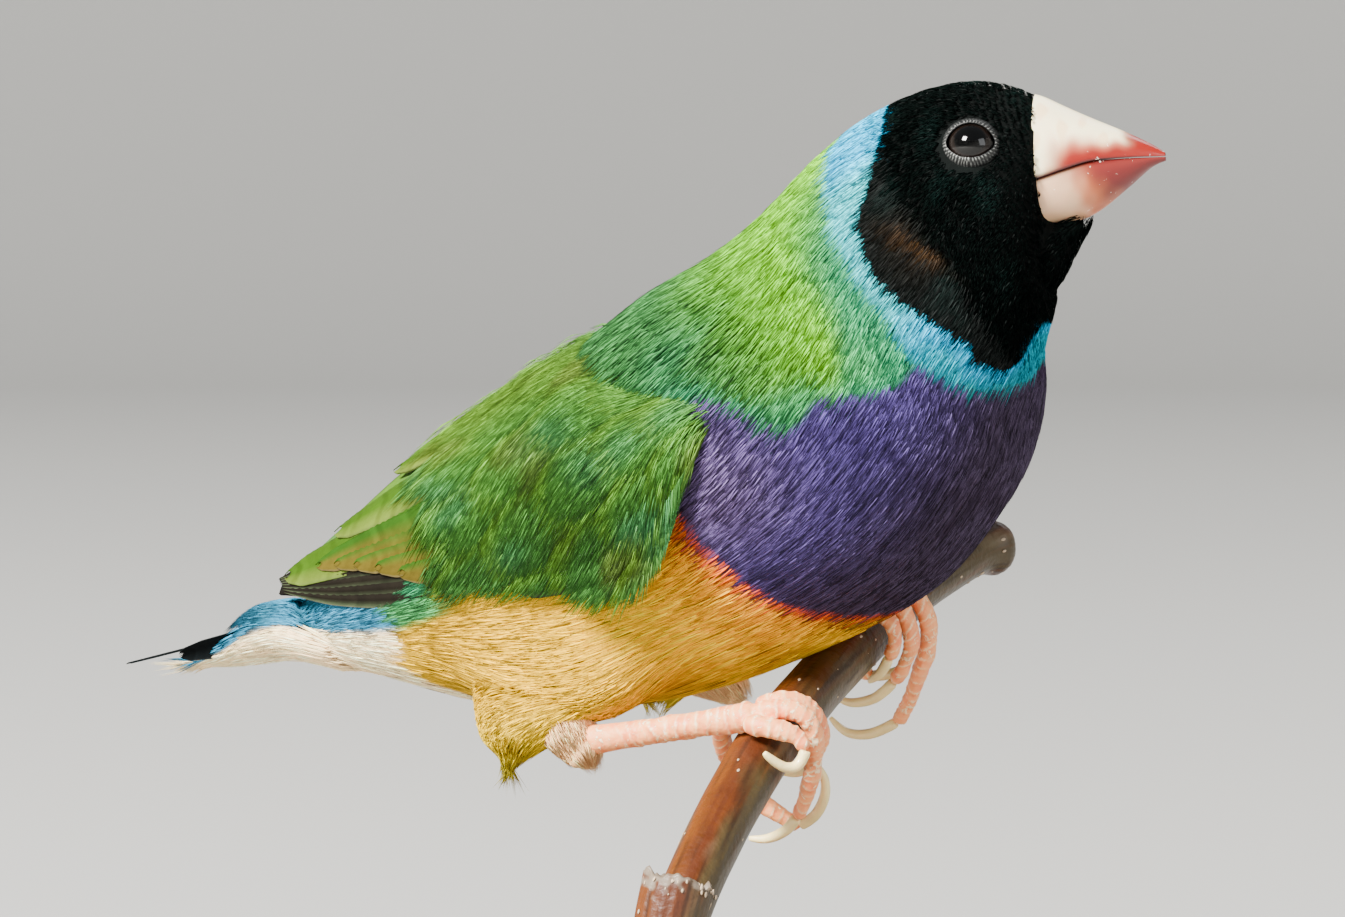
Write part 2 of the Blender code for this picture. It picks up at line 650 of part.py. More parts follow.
def vane(name, frames, half_width, roll, adjust):
    """One feather's vane over frames of (share of its length, point, outward direction).

    A section has two edges, a raised rachis above and the same below. adjust places
    each point of the section.
    """
    rings = []
    for index, (share, point, outward) in enumerate(frames):
        before = frames[max(index - 1, 0)][1]
        after = frames[min(index + 1, len(frames) - 1)][1]
        forward = (after - before).normalized()
        side = forward.cross(outward).normalized()
        outward = side.cross(forward)
        tilt = math.radians(roll)
        side, outward = (side * math.cos(tilt) + outward * math.sin(tilt),
                         outward * math.cos(tilt) - side * math.sin(tilt))
        half = half_width * float(np.interp(share, *VANE_WIDTH_AT))
        thickness = VANE_THICKNESS * (1 - 0.35 * share)
        section = [(-half, 0.0), (0.0, VANE_RACHIS), (half, 0.0),
                   (half, -thickness), (0.0, VANE_RACHIS - thickness), (-half, -thickness)]
        rings.append([adjust(point + side * across + outward * up) for across, up in section])
    return loft(name, rings)


def tier_vanes(tiers, frame_at, draw, adjust):
    """The vanes of every tier on the surface whose place and outward direction frame_at gives."""
    pieces = []
    for tier in tiers:
        for index in range(tier.count):
            share = index / (tier.count - 1)
            root = Vector(tier.first_root).lerp(Vector(tier.last_root), share)
            tip = Vector(tier.first_tip).lerp(Vector(tier.last_tip), share)
            tip = root.lerp(tip, 1 - VANE_LENGTH_SPREAD * draw.random())
            frames = []
            for stop in VANE_STOPS[tier.spans]:
                place = root.lerp(tip, stop)
                point, outward = frame_at(place.x, place.y)
                lift = tier.root_lift + (tier.tip_lift - tier.root_lift) * stop
                frames.append((stop, point + outward * lift, outward))
            half_width = tier.half_width * (0.95 + 0.1 * draw.random())
            pieces.append(vane("vane", frames, half_width, VANE_ROLL, adjust))
    return pieces


def build_wing(side):
    """A folded wing with its tiers of feathers, cut clear of the torso and the tail."""
    def adjust(point):
        return (point.x, -side * min(point.y, -GAP / 2), point.z)

    wing = wing_core(side)
    fuse(wing, tier_vanes(WING_TIERS, wing_frame, random.Random(SEED + side), adjust))
    cut(wing, torso_cutter())
    cut(wing, loft("tail_room", tail_rings(TAIL_ROOM)))
    return complete(wing, "wing_green")


def tail_frame(along, turn_degrees):
    """A point on the tail's core and the outward direction there, with turn 0 at the top."""
    last = len(TAIL_SECTIONS) - 1
    x, z, lean, half_height, half_width, _ = spline(TAIL_SECTIONS, [along * last])[0]
    turn, tilt = math.radians(turn_degrees), math.radians(lean)
    up = half_height * math.cos(turn)
    point = Vector((x + up * math.cos(tilt), half_width * math.sin(turn), z + up * math.sin(tilt)))
    rise = math.cos(turn) / half_height
    outward = Vector((0.0, math.sin(turn) / half_width, rise)).normalized()
    return point, outward


def tail_feathers():
    """The fan of tail feathers."""
    pieces = []
    middle = (TAIL_FEATHERS - 1) / 2
    for index in range(TAIL_FEATHERS):
        rank = (index - middle) / middle
        outer = abs(rank)
        is_pin = abs(index - middle) < 1
        x, y, z = TAIL_FEATHER_ROOT
        root = Vector((x, y * rank, z - TAIL_FEATHER_DROP * outer))
        x, y, z = TAIL_FEATHER_TIP
        tip = Vector((x + TAIL_FEATHER_SHORTER * outer, y * rank, z - TAIL_FEATHER_DROP * outer))
        if is_pin:
            x, y, z = TAIL_PIN_TIP
            tip = Vector((x, math.copysign(y, rank), z))
        half_width = TAIL_PIN_HALF_WIDTH if is_pin else TAIL_FEATHER_HALF_WIDTH
        frames = [(stop, root.lerp(tip, stop), Vector((0, 0, 1))) for stop in VANE_STOPS[3]]
        pieces.append(vane("tail_feather", frames, half_width, TAIL_FAN_ROLL * rank, tuple))
    return pieces


def build_tail():
    """The tail's core with its coverts above and below and the fan of its feathers."""
    tail = loft("tail", tail_rings())
    fuse(tail, tier_vanes(TAIL_TIERS, tail_frame, random.Random(SEED), tuple) + tail_feathers())
    cut(tail, torso_cutter())
    return complete(tail, "tail_blue")


def perch_frame(side):
    """The perch's axis point at a foot's grip, with the forward, up and along directions."""
    values = spline(PERCH_POINTS, np.linspace(0, len(PERCH_POINTS) - 1, 400))
    index = int(np.abs(values[:, 1] - GRIP_Y[side]).argmin())
    along = Vector(values[index + 1, :3] - values[index - 1, :3]).normalized()
    up = (Vector((0, 0, 1)) - along * along.z).normalized()
    return Vector(values[index, :3]), along.cross(up), up, along


def from_perch(side, row):
    """A way point given from the perch's axis, as (x, y, z) with its radius if it has one."""
    origin, forward, up, along = perch_frame(side)
    point = origin + forward * row[0] + up * row[1] + along * row[2]
    return (*point, *row[3:])


def perch_piece(name, grow=0.0):
    """The perch's main length."""
    return smooth_tube(name, PERCH_POINTS, PERCH_SPANS, 4, grow)


def build_perch():
    """The perch with the cut stem that it grows from."""
    perch = perch_piece("perch")
    fuse(perch, [smooth_tube("stem", STEM_POINTS, STEM_SPANS, 4)])
    return complete(perch, "bark_brown")


def leg_pieces(side, grow=0.0):
    """The tubes of one leg: the tarsus and the four toes."""
    heel = HEEL_PLACE[side]
    knuckle = from_perch(side, KNUCKLE[side])
    places = [Vector(heel).lerp(Vector(knuckle), share) for share in (0.0, 0.3, 0.7, 1.0)]
    rows = [(*place, radius) for place, radius in zip(places, TARSUS_RADII)]
    pieces = [smooth_tube("tarsus", rows, 5, 3, grow)]
    for number, points in TOES[side].items():
        rows = [from_perch(side, point) for point in points]
        spans = TOE_SPANS_PER_POINT * (len(rows) - 1)
        pieces.append(smooth_tube("toe_" + number, rows, spans, 2, grow))
    return pieces


def build_leg(side):
    """The bare leg and foot."""
    tarsus, *toes = leg_pieces(side)
    tarsus.name = "leg_" + SIDE_NAMES[side]
    fuse(tarsus, toes)
    return complete(tarsus, "leg_pink")


def build_claws(side):
    """The four claws of a foot, each just clear of its toe."""
    for number, points in CLAWS[side].items():
        places = spline([from_perch(side, point) for point in points],
                        np.linspace(0, len(points) - 1, 2 * len(points) - 1))
        shares = np.linspace(0, 1, len(places))
        radii = CLAW_ROOT_RADIUS + (CLAW_TIP_RADIUS - CLAW_ROOT_RADIUS) * shares**3
        claw = tube("claw_" + SIDE_NAMES[side] + "_" + number, places, radii)
        complete(claw, "claw_cream")


def thigh_rings(side):
    """Level rings of a feathered thigh."""
    around = np.linspace(0, math.tau, THIGH_SIDES, endpoint=False)
    rings = []
    for x, out, z, half_x, half_y in THIGH_SECTIONS[side]:
        level = np.full(THIGH_SIDES, z)
        rings.append(np.stack([x + half_x * np.cos(around), side * out + half_y * np.sin(around), level],
                              axis=1))
    return rings


def build_thigh(side):
    """A feathered thigh that narrows to the heel and to a hanging tuft."""
    thigh = loft("thigh_" + SIDE_NAMES[side], thigh_rings(side))
    top, heel = Vector(TIBIA_TOP[side]), Vector(HEEL_PLACE[side])
    places = [top.lerp(heel, share) for share in (0.0, 0.5, 0.95)]
    fuse(thigh, [tube("tibia", places, TIBIA_RADII, 3)])
    cut(thigh, torso_cutter())
    for piece in leg_pieces(side, FLESH_CLEARANCE):
        cut(thigh, piece)
    return complete(thigh, "belly_gold")


def build_torso():
    """The torso, with room in its belly for the perch and the feet under it."""
    rings = body_rings(NECK_CUT + NECK_CUT_HALF, len(BODY_STATIONS) - 1, TORSO_RINGS)
    torso = loft("torso", rings)
    cut(torso, perch_piece("perch_room", FLESH_CLEARANCE))
    for piece in leg_pieces(LEFT, FLESH_CLEARANCE):
        cut(torso, piece)
    return complete(torso, "breast_purple")


def build_stand():
    """The round base and the rod that carries the perch."""
    bpy.ops.mesh.primitive_cylinder_add(vertices=BASE_SIDES, radius=BASE_RADIUS * MM,
                                        depth=BASE_HEIGHT * MM, location=(0, 0, BASE_HEIGHT * MM / 2))
    base = bpy.context.object
    low_end = STEM_POINTS[0]
    rod_low = BASE_HEIGHT + GAP
    rod_high = low_end.z - GAP
    rod_place = Vector((low_end.x, low_end.y, (rod_low + rod_high) / 2)) * MM
    bpy.ops.mesh.primitive_cylinder_add(vertices=ROD_SIDES, radius=ROD_RADIUS * MM,
                                        depth=(rod_high - rod_low) * MM, location=rod_place)
    rod = bpy.context.object
    for made, name, finish_name in ((base, "stand_base", "stand_wood"), (rod, "stand_rod", "stand_steel")):
        made.name = name
        for holder in list(made.users_collection):
            holder.objects.unlink(made)
        bpy.data.collections[COLLECTION_NAME].objects.link(made)
        made.data.materials.append(finish(finish_name))
        made.data.shade_smooth()
        made.data.set_sharp_from_angle(angle=math.radians(SMOOTH_ANGLE))
    edge = base.modifiers.new("edge", "BEVEL")
    edge.width = BASE_EDGE * MM
    edge.segments = 2
    edge.limit_method = "ANGLE"


def main():
    reset_scene()
    build_perch()
    build_torso()
    build_neck()
    build_head()
    build_bill()
    build_eyes()
    for side in (RIGHT, LEFT):
        build_wing(side)
        build_thigh(side)
        build_leg(side)
        build_claws(side)
    build_tail()
    build_stand()


main()
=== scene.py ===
"""Dress the Gouldian finch model: skin, feathers, bill, eyes, feet, perch and stand.

Sizes are in millimetres, in the frame of the solids: the bird faces +X, its left side is
+Y and +Z is up. They become metres when a mesh is made.
"""

from __future__ import annotations

import logging
import math
from dataclasses import dataclass, field
from enum import Enum
from typing import Callable

import bmesh
import bpy
import numpy as np
from mathutils import Matrix, Vector
from mathutils.kdtree import KDTree


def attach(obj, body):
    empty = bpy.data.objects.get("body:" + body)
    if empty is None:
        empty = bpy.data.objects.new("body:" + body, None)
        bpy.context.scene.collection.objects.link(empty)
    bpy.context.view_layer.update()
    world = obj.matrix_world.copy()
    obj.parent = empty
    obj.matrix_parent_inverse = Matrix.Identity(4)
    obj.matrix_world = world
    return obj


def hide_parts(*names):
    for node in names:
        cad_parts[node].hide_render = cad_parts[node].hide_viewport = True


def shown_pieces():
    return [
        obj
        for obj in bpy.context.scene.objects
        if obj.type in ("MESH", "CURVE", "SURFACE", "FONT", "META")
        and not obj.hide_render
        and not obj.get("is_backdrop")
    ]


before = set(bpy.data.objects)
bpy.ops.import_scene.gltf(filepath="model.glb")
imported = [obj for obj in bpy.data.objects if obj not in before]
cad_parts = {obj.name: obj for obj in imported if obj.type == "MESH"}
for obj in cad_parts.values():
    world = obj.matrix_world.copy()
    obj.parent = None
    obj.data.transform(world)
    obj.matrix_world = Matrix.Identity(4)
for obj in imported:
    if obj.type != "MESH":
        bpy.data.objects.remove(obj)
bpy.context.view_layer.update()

LOG = logging.getLogger("finch")
MM = 0.001
SEED = 11
BAKE_PATCH = 0.003
MARKING = "marking"
Array = np.ndarray


class Side(Enum):
    """The two sides of the bird, with the sign of Y there."""

    RIGHT = -1
    LEFT = 1

    @property
    def label(self) -> str:
        """The side's name in lower case."""
        return self.name.lower()


def srgb(code: str) -> Array:
    """The linear colour of a hex code."""
    value = np.array([int(code[i:i + 2], 16) for i in (0, 2, 4)]) / 255
    return np.where(value <= 0.04045, value / 12.92, ((value + 0.055) / 1.055) ** 2.4)


def unit(vectors: Array) -> Array:
    """Vectors scaled to length one."""
    return vectors / np.maximum(np.linalg.norm(vectors, axis=-1, keepdims=True), 1e-9)


def smooth(low: float, high: float, value: Array) -> Array:
    """A smooth step from 0 at low to 1 at high."""
    share = np.clip((value - low) / (high - low), 0, 1)
    return share * share * (3 - 2 * share)


def spline(rows: Array, places: Array) -> Array:
    """Values of a Catmull-Rom curve through rows at places counted in rows."""
    rows = np.asarray(rows, float)
    last = len(rows) - 1
    places = np.clip(places, 0, last)
    low = np.clip(np.floor(places).astype(int), 0, last - 1)
    f = (places - low)[..., None]
    before, here = rows[np.clip(low - 1, 0, last)], rows[low]
    after, beyond = rows[low + 1], rows[np.clip(low + 2, 0, last)]
    bend = 2 * before - 5 * here + 4 * after - beyond
    twist = 3 * here - before - 3 * after + beyond
    return 0.5 * (2 * here + (after - before) * f + bend * f**2 + twist * f**3)


def ripple(points: Array, size: float, seed: int) -> Array:
    """A smooth random value from -1 to 1 over space, with features of about that size.

    Args:
        points: Places, (N, 3).
        size: Feature size in millimetres.
        seed: Picks the pattern.

    Returns:
        One value for each place.
    """
    draw = np.random.default_rng(seed)
    total = np.zeros(len(points))
    for _ in range(6):
        direction = unit(draw.normal(size=3))
        rate = math.tau / (size * draw.uniform(1.0, 2.4))
        total += np.sin(points @ direction * rate + draw.uniform(0, math.tau))
    return total / 3.2


def mix(first: Array, second: Array, share: Array) -> Array:
    """Colours between first and second, each one colour or one a row, by a share for each row."""
    return first + (second - first) * share[:, None]


def make_object(name: str, points: Array, faces: Array, colours: Array | None = None,
                patches: Array | None = None) -> bpy.types.Object:
    """A mesh object from points in millimetres.

    Args:
        name: The piece's name.
        points: Places, (N, 3).
        faces: Corner indices, (M, 3) or (M, 4).
        colours: Marking colour of each point.
        patches: Bake map place of each point.

    Returns:
        The linked object.
    """
    mesh = bpy.data.meshes.new(name)
    corners = faces.shape[1]
    mesh.vertices.add(len(points))
    mesh.vertices.foreach_set("co", (points * MM).astype(np.float32).ravel())
    mesh.loops.add(faces.size)
    mesh.loops.foreach_set("vertex_index", faces.astype(np.int32).ravel())
    mesh.polygons.add(len(faces))
    mesh.polygons.foreach_set("loop_start", np.arange(0, faces.size, corners, dtype=np.int32))
    mesh.update(calc_edges=True)
    mesh.shade_smooth()
    if colours is not None:
        paint(mesh, colours)
    if patches is not None:
        layer = mesh.uv_layers.new(name="OFBake")
        layer.data.foreach_set("uv", patches[faces.ravel()].astype(np.float32).ravel())
    made = bpy.data.objects.new(name, mesh)
    bpy.context.scene.collection.objects.link(made)
    return made


def paint(mesh: bpy.types.Mesh, colours: Array) -> None:
    """Store a marking colour at each point of a mesh."""
    layer = mesh.attributes.new(MARKING, "FLOAT_COLOR", "POINT")
    rgba = np.ones((len(colours), 4), np.float32)
    rgba[:, :3] = np.clip(colours, 0, 1)
    layer.data.foreach_set("color", rgba.ravel())


def mesh_points(made: bpy.types.Object) -> Array:
    """A mesh object's points in millimetres."""
    flat = np.zeros(len(made.data.vertices) * 3, np.float32)
    made.data.vertices.foreach_get("co", flat)
    return flat.reshape(-1, 3).astype(float) / MM


def grid_faces(rows: int, columns: int, closed: bool) -> Array:
    """Quads over a grid of rows by columns, joined across the last column if closed."""
    i = np.arange(rows - 1)[:, None]
    j = np.arange(columns if closed else columns - 1)[None, :]
    k = (j + 1) % columns
    quads = np.stack([i * columns + j, i * columns + k, (i + 1) * columns + k, (i + 1) * columns + j],
                     axis=-1)
    return quads.reshape(-1, 4)


def loft_piece(name: str, grid: Array, colours: Array | None = None) -> bpy.types.Object:
    """A closed body from rings of points, each end closed by a fan.

    Args:
        name: The piece's name.
        grid: Rings by points by three.
        colours: Marking colours, rings by points by three.

    Returns:
        The linked object.
    """
    rings, sides = grid.shape[:2]
    points = np.concatenate([grid.reshape(-1, 3), grid[0].mean(0)[None], grid[-1].mean(0)[None]])
    quads = grid_faces(rings, sides, True)
    around = np.arange(sides)
    after = (around + 1) % sides
    first, last = rings * sides, rings * sides + 1
    ends = [np.stack([np.full(sides, first), after, around, np.full(sides, first)], -1),
            np.stack([np.full(sides, last), (rings - 1) * sides + around,
                      (rings - 1) * sides + after, np.full(sides, last)], -1)]
    shades = None
    if colours is not None:
        shades = np.concatenate([colours.reshape(-1, 3), colours[0].mean(0)[None], colours[-1].mean(0)[None]])
    made = make_object(name, points, quads, shades)
    bm = bmesh.new()
    bm.from_mesh(made.data)
    bm.verts.ensure_lookup_table()
    for fan in ends:
        for corner in fan:
            bm.faces.new([bm.verts[i] for i in corner[:3]])
    bmesh.ops.remove_doubles(bm, verts=bm.verts, dist=1e-7)
    bmesh.ops.recalc_face_normals(bm, faces=bm.faces)
    for face in bm.faces:
        face.smooth = True
    bm.to_mesh(made.data)
    bm.free()
    return made


@dataclass
class Frames:
    """Places on a surface with its two tangents, in millimetres per unit, and its normal."""

    point: Array
    by_u: Array
    by_v: Array
    normal: Array

    def steps(self, direction: Array) -> tuple[Array, Array]:
        """How far both parameters go for a millimetre along each direction."""
        uu = (self.by_u**2).sum(-1)
        vv = (self.by_v**2).sum(-1)
        uv = (self.by_u * self.by_v).sum(-1)
        a = (self.by_u * direction).sum(-1)
        b = (self.by_v * direction).sum(-1)
        area = np.maximum(uu * vv - uv**2, 1e-9)
        return (a * vv - b * uv) / area, (b * uu - a * uv) / area


class Surface:
    """A surface over two parameters that feathers grow from."""

    u_end: float = 1.0
    v_low: float = -180.0
    v_high: float = 180.0
    v_wraps: bool = True
    bake_corner: tuple[float, float] = (0.02, 0.02)
    bake_size: tuple[float, float] = (0.96, 0.96)

    def points(self, u: Array, v: Array) -> Array:
        """Places for the two parameters."""
        raise NotImplementedError

    def hint(self, u: Array, v: Array, point: Array) -> Array:
        """A rough outward direction at each place."""
        raise NotImplementedError

    def lie(self, u: Array, v: Array, at: Frames) -> Array:
        """The direction in which feathers lie."""
        return unit(at.by_u)

    def frames(self, u: Array, v: Array) -> Frames:
        """Places with their tangents and normals."""
        step_u, step_v = self.u_end * 0.004, (self.v_high - self.v_low) * 0.004
        near_u = np.clip(u, 0, self.u_end)
        u0, u1 = np.clip(near_u - step_u, 0, self.u_end), np.clip(near_u + step_u, 0, self.u_end)
        v0, v1 = v - step_v, v + step_v
        if not self.v_wraps:
            near_v = np.clip(v, self.v_low, self.v_high)
            v0, v1 = np.maximum(near_v - step_v, self.v_low), np.minimum(near_v + step_v, self.v_high)
        by_u = (self.points(u1, v) - self.points(u0, v)) / (u1 - u0)[..., None]
        by_v = (self.points(u, v1) - self.points(u, v0)) / (v1 - v0)[..., None]
        point = self.points(u, v)
        normal = unit(np.cross(by_u, by_v))
        facing = (normal * self.hint(u, v, point)).sum(-1, keepdims=True)
        return Frames(point, by_u, by_v, np.where(facing < 0, -normal, normal))

    def unwrap(self, u: Array, v: Array) -> Array:
        """Places on the bake map, where the surface is laid out flat by its parameters."""
        x = self.bake_corner[0] + self.bake_size[0] * (v - self.v_low) / (self.v_high - self.v_low)
        y = self.bake_corner[1] + self.bake_size[1] * u / self.u_end
        return np.stack([x, y], -1)

    def spread(self, count: int, u_range: tuple[float, float], v_range: tuple[float, float],
               draw: np.random.Generator) -> tuple[Array, Array]:
        """Places spread evenly by area over a range of both parameters.

        Args:
            count: How many places.
            u_range: Lowest and highest first parameter.
            v_range: Lowest and highest second parameter.
            draw: Random source for the pattern's start.

        Returns:
            The two parameters of each place.
        """
        cells = 64
        edge_u, edge_v = np.linspace(*u_range, cells + 1), np.linspace(*v_range, cells + 1)
        mid_u, mid_v = (edge_u[1:] + edge_u[:-1]) / 2, (edge_v[1:] + edge_v[:-1]) / 2
        grid_u, grid_v = np.meshgrid(mid_u, mid_v, indexing="ij")
        at = self.frames(grid_u.ravel(), grid_v.ravel())
        area = np.linalg.norm(np.cross(at.by_u, at.by_v), axis=-1).reshape(cells, cells) + 1e-6
        start = draw.random(2)
        order = np.arange(count)
        a = (order * 0.7548776662466927 + start[0]) % 1
        b = (order * 0.5698402909980532 + start[1]) % 1
        rows = np.concatenate([[0], np.cumsum(area.sum(1))]) / area.sum()
        u = np.interp(a, rows, edge_u)
        row = np.clip(np.searchsorted(rows, a) - 1, 0, cells - 1)
        inner = np.concatenate([np.zeros((cells, 1)), np.cumsum(area, 1)], 1) / area.sum(1, keepdims=True)
        stacked = (inner * 0.999999 + np.arange(cells)[:, None]).ravel()
        edges = np.tile(edge_v, cells)
        return u, np.interp(b * 0.999999 + row, stacked, edges)


class BodyForm(Surface):
    """The body from the bill's base to the tail's root, turned at the neck.

    The first parameter counts stations. The second is the angle from the top in degrees,
    below zero on the bird's right.
    """

    stations = np.array([
        (39.0, 97.4, 94.5, 6.5, 5.0, 0.0),
        (35.5, 94.9, 111.5, 11.4, 8.5, -0.05),
        (31.2, 91.3, 121.0, 14.2, 10.4, -0.10),
        (27.6, 86.3, 130.4, 16.4, 14.0, -0.10),
        (21.9, 78.0, 138.3, 18.4, 17.4, 0.0),
        (12.4, 69.7, 137.6, 20.7, 18.4, 0.0),
        (0.6, 62.2, 136.0, 19.2, 17.0, 0.0),
        (-12.6, 55.5, 134.1, 16.1, 13.4, 0.0),
        (-26.0, 50.8, 135.8, 11.0, 8.4, 0.0),
        (-35.6, 49.2, 143.2, 5.7, 4.4, 0.0),
    ])
    u_end = 9.0
    head_yaw = 10.0
    pivot_x = 25.0
    yaw_starts = 3.5
    yaw_full = 2.2

    def turned(self, points: Array, share: Array | float = 1.0) -> Array:
        """Points turned to the bird's left about the upright line through the neck."""
        yaw = np.radians(self.head_yaw * share)
        forward, side = points[..., 0] - self.pivot_x, points[..., 1]
        return np.stack([self.pivot_x + forward * np.cos(yaw) - side * np.sin(yaw),
                         forward * np.sin(yaw) + side * np.cos(yaw), points[..., 2]], -1)

    def ring(self, rows: Array, u: Array, v: Array) -> Array:
        """Places on egg-shaped sections across the bird's middle plane."""
        x, z, lean, half_height, half_width, egg = np.moveaxis(spline(rows, u), -1, 0)
        around, tilt = np.radians(v), np.radians(lean)
        rise = half_height * np.cos(around)
        side = half_width * np.sin(around) * (1 + egg * np.cos(around))
        return np.stack([x + rise * np.cos(tilt), side, z + rise * np.sin(tilt)], -1)

    def points(self, u: Array, v: Array) -> Array:
        """Places on the body."""
        share = smooth(0, 1, (self.yaw_starts - u) / (self.yaw_starts - self.yaw_full))
        return self.turned(self.ring(self.stations, u, v), share)

    def hint(self, u: Array, v: Array, point: Array) -> Array:
        """Away from the body's axis."""
        return point - (self.points(u, v * 0) + self.points(u, v * 0 + 180)) / 2

    def lie(self, u: Array, v: Array, at: Frames) -> Array:
        """Backwards along the body, sinking towards the belly on the mantle and the flank."""
        back = unit(at.by_u)
        down = unit(at.by_v - back * (at.by_v * back).sum(-1, keepdims=True)) * np.sign(v + 1e-9)[:, None]
        t = np.abs(v)
        sink = 15 * np.exp(-(((t - 75) / 45) ** 2)) * smooth(2.4, 3.6, u) * (1 - smooth(5.4, 6.4, u))
        sink -= 14 * np.exp(-(((t - 120) / 35) ** 2)) * smooth(5.2, 6.2, u)
        sink += 16 * np.exp(-(((t - 95) / 30) ** 2)) * smooth(0.6, 1.6, u) * (1 - smooth(2.4, 3.2, u))
        angle = np.radians(sink)[:, None]
        return back * np.cos(angle) + down * np.sin(angle)


class ChinForm(BodyForm):
    """The wedge of black feathers between the branches of the lower mandible."""

    stations = np.array([
        (36.2, 85.6, -32.0, 3.0, 5.0, 0.0),
        (37.8, 87.4, -32.0, 3.0, 4.5, 0.0),
        (39.9, 89.7, -32.0, 2.2, 3.4, 0.0),
        (42.5, 92.0, -34.0, 1.0, 1.9, 0.0),
        (43.9, 93.1, -36.0, 0.3, 0.6, 0.0),
    ])
    u_end = 4.0

    def points(self, u: Array, v: Array) -> Array:
        """Places on the chin."""
        return self.turned(self.ring(self.stations, u, v))

    def lie(self, u: Array, v: Array, at: Frames) -> Array:
        """Down the throat, away from the chin's point."""
        return -unit(at.by_u)


class TailForm(BodyForm):
    """The tail's core, which carries the coverts above and below."""

    stations = np.array([
        (-35.8, 48.95, 143.2, 5.5, 4.3, 0.0),
        (-41.0, 50.1, 110.0, 3.1, 4.5, 0.0),
        (-45.6, 49.4, 95.0, 2.7, 3.9, 0.0),
        (-48.6, 48.0, 92.0, 1.6, 3.1, 0.0),
        (-50.8, 47.2, 90.0, 0.8, 2.2, 0.0),
    ])
    u_end = 4.0

    def points(self, u: Array, v: Array) -> Array:
        """Places on the tail's core."""
        return self.ring(self.stations, u, v)

    def lie(self, u: Array, v: Array, at: Frames) -> Array:
        """Backwards along the tail."""
        return unit(at.by_u)


class ThighForm(Surface):
    """A feathered thigh: level ovals from the flank down to the hanging tuft."""

    sections = {
        Side.RIGHT: [
            (-8.5, 8.0, 51.0, 9.3, 5.0), (-8.9, 10.4, 45.2, 8.0, 4.4), (-10.2, 11.6, 42.2, 5.8, 3.4),
            (-11.4, 12.0, 40.3, 3.9, 2.4), (-12.0, 12.0, 39.0, 1.9, 1.2), (-12.2, 12.0, 37.9, 0.4, 0.4)],
        Side.LEFT: [
            (-7.0, 10.0, 52.0, 7.5, 4.6), (-6.8, 13.0, 48.5, 6.6, 4.2), (-6.9, 15.2, 45.6, 5.0, 3.2),
            (-7.6, 16.0, 43.6, 2.8, 2.0), (-8.0, 16.2, 42.2, 0.6, 0.5)],
    }

    def __init__(self, side: Side) -> None:
        """Take one side's sections."""
        self.side = side
        self.rows = np.array(self.sections[side])
        self.u_end = len(self.rows) - 1.0

    def points(self, u: Array, v: Array) -> Array:
        """Places on the thigh, with v the angle round from the front."""
        x, out, z, half_x, half_y = np.moveaxis(spline(self.rows, u), -1, 0)
        around = np.radians(v)
        return np.stack([x + half_x * np.cos(around), self.side.value * out + half_y * np.sin(around), z], -1)

    def hint(self, u: Array, v: Array, point: Array) -> Array:
        """Away from the thigh's middle."""
        return point - (self.points(u, v * 0) + self.points(u, v * 0 + 180)) / 2

    def lie(self, u: Array, v: Array, at: Frames) -> Array:
        """Back along the flank, then down towards the tuft's point."""
        fall = smooth(0.3, self.u_end - 1.2, u)[:, None]
        want = np.array([-0.97, 0.0, -0.22]) * (1 - fall) + np.array([-0.3, 0.0, -0.95]) * fall
        flat = want - at.normal * (at.normal * want).sum(-1, keepdims=True)
        return unit(flat)


class WingForm(Surface):
    """The outer sheet of a folded wing, over shares of its length and of its depth."""

    sections = np.array([
        (13.6, 16.0, 76.0, 10.1, 19.0, 68.9, 1.0, 2.6),
        (5.0, 11.0, 79.8, 5.5, 19.0, 60.0, 3.8, 3.2),
        (-7.3, 3.2, 80.2, -3.0, 17.0, 56.3, 6.0, 3.2),
        (-18.9, 0.9, 74.0, -13.0, 14.0, 54.9, 4.6, 3.0),
        (-29.0, 0.6, 67.0, -23.5, 10.5, 53.6, 3.4, 2.4),
        (-36.5, 0.7, 60.6, -33.3, 7.0, 53.2, 2.0, 1.6),
        (-42.0, 1.8, 55.6, -42.0, 3.4, 54.0, 0.2, 0.8),
    ])
    v_low, v_high, v_wraps = 0.0, 1.0, False
    barb_turn = 46.0

    def __init__(self, side: Side) -> None:
        """Take one side of the bird."""
        self.side = side

    def points(self, u: Array, v: Array) -> Array:
        """Places on the sheet from shoulder to tip and from the upper to the lower edge."""
        row = spline(self.sections, u * (len(self.sections) - 1))
        top, bottom, swell = row[..., 0:3], row[..., 3:6], row[..., 6:7]
        chord = bottom - top
        out = unit(np.stack([chord[..., 0] * 0, -chord[..., 2], chord[..., 1]], -1))
        point = top + chord * v[..., None] + out * swell * np.sin(np.pi * np.clip(v, 0, 1))[..., None]
        return point * np.array([1, self.side.value, 1])

    def hint(self, u: Array, v: Array, point: Array) -> Array:
        """Away from the body."""
        return np.broadcast_to(np.array([0.0, self.side.value, 0.2]), point.shape)

    def lie(self, u: Array, v: Array, at: Frames) -> Array:
        """Along the barbs of the outer webs, which run back and down across the wing."""
        back = unit(at.by_u)
        down = unit(at.by_v - back * (at.by_v * back).sum(-1, keepdims=True))
        turn = self.barb_turn * (0.25 + 0.75 * smooth(0.0, 0.5, v))
        angle = np.radians(turn)[:, None]
        return back * np.cos(angle) + down * np.sin(angle)


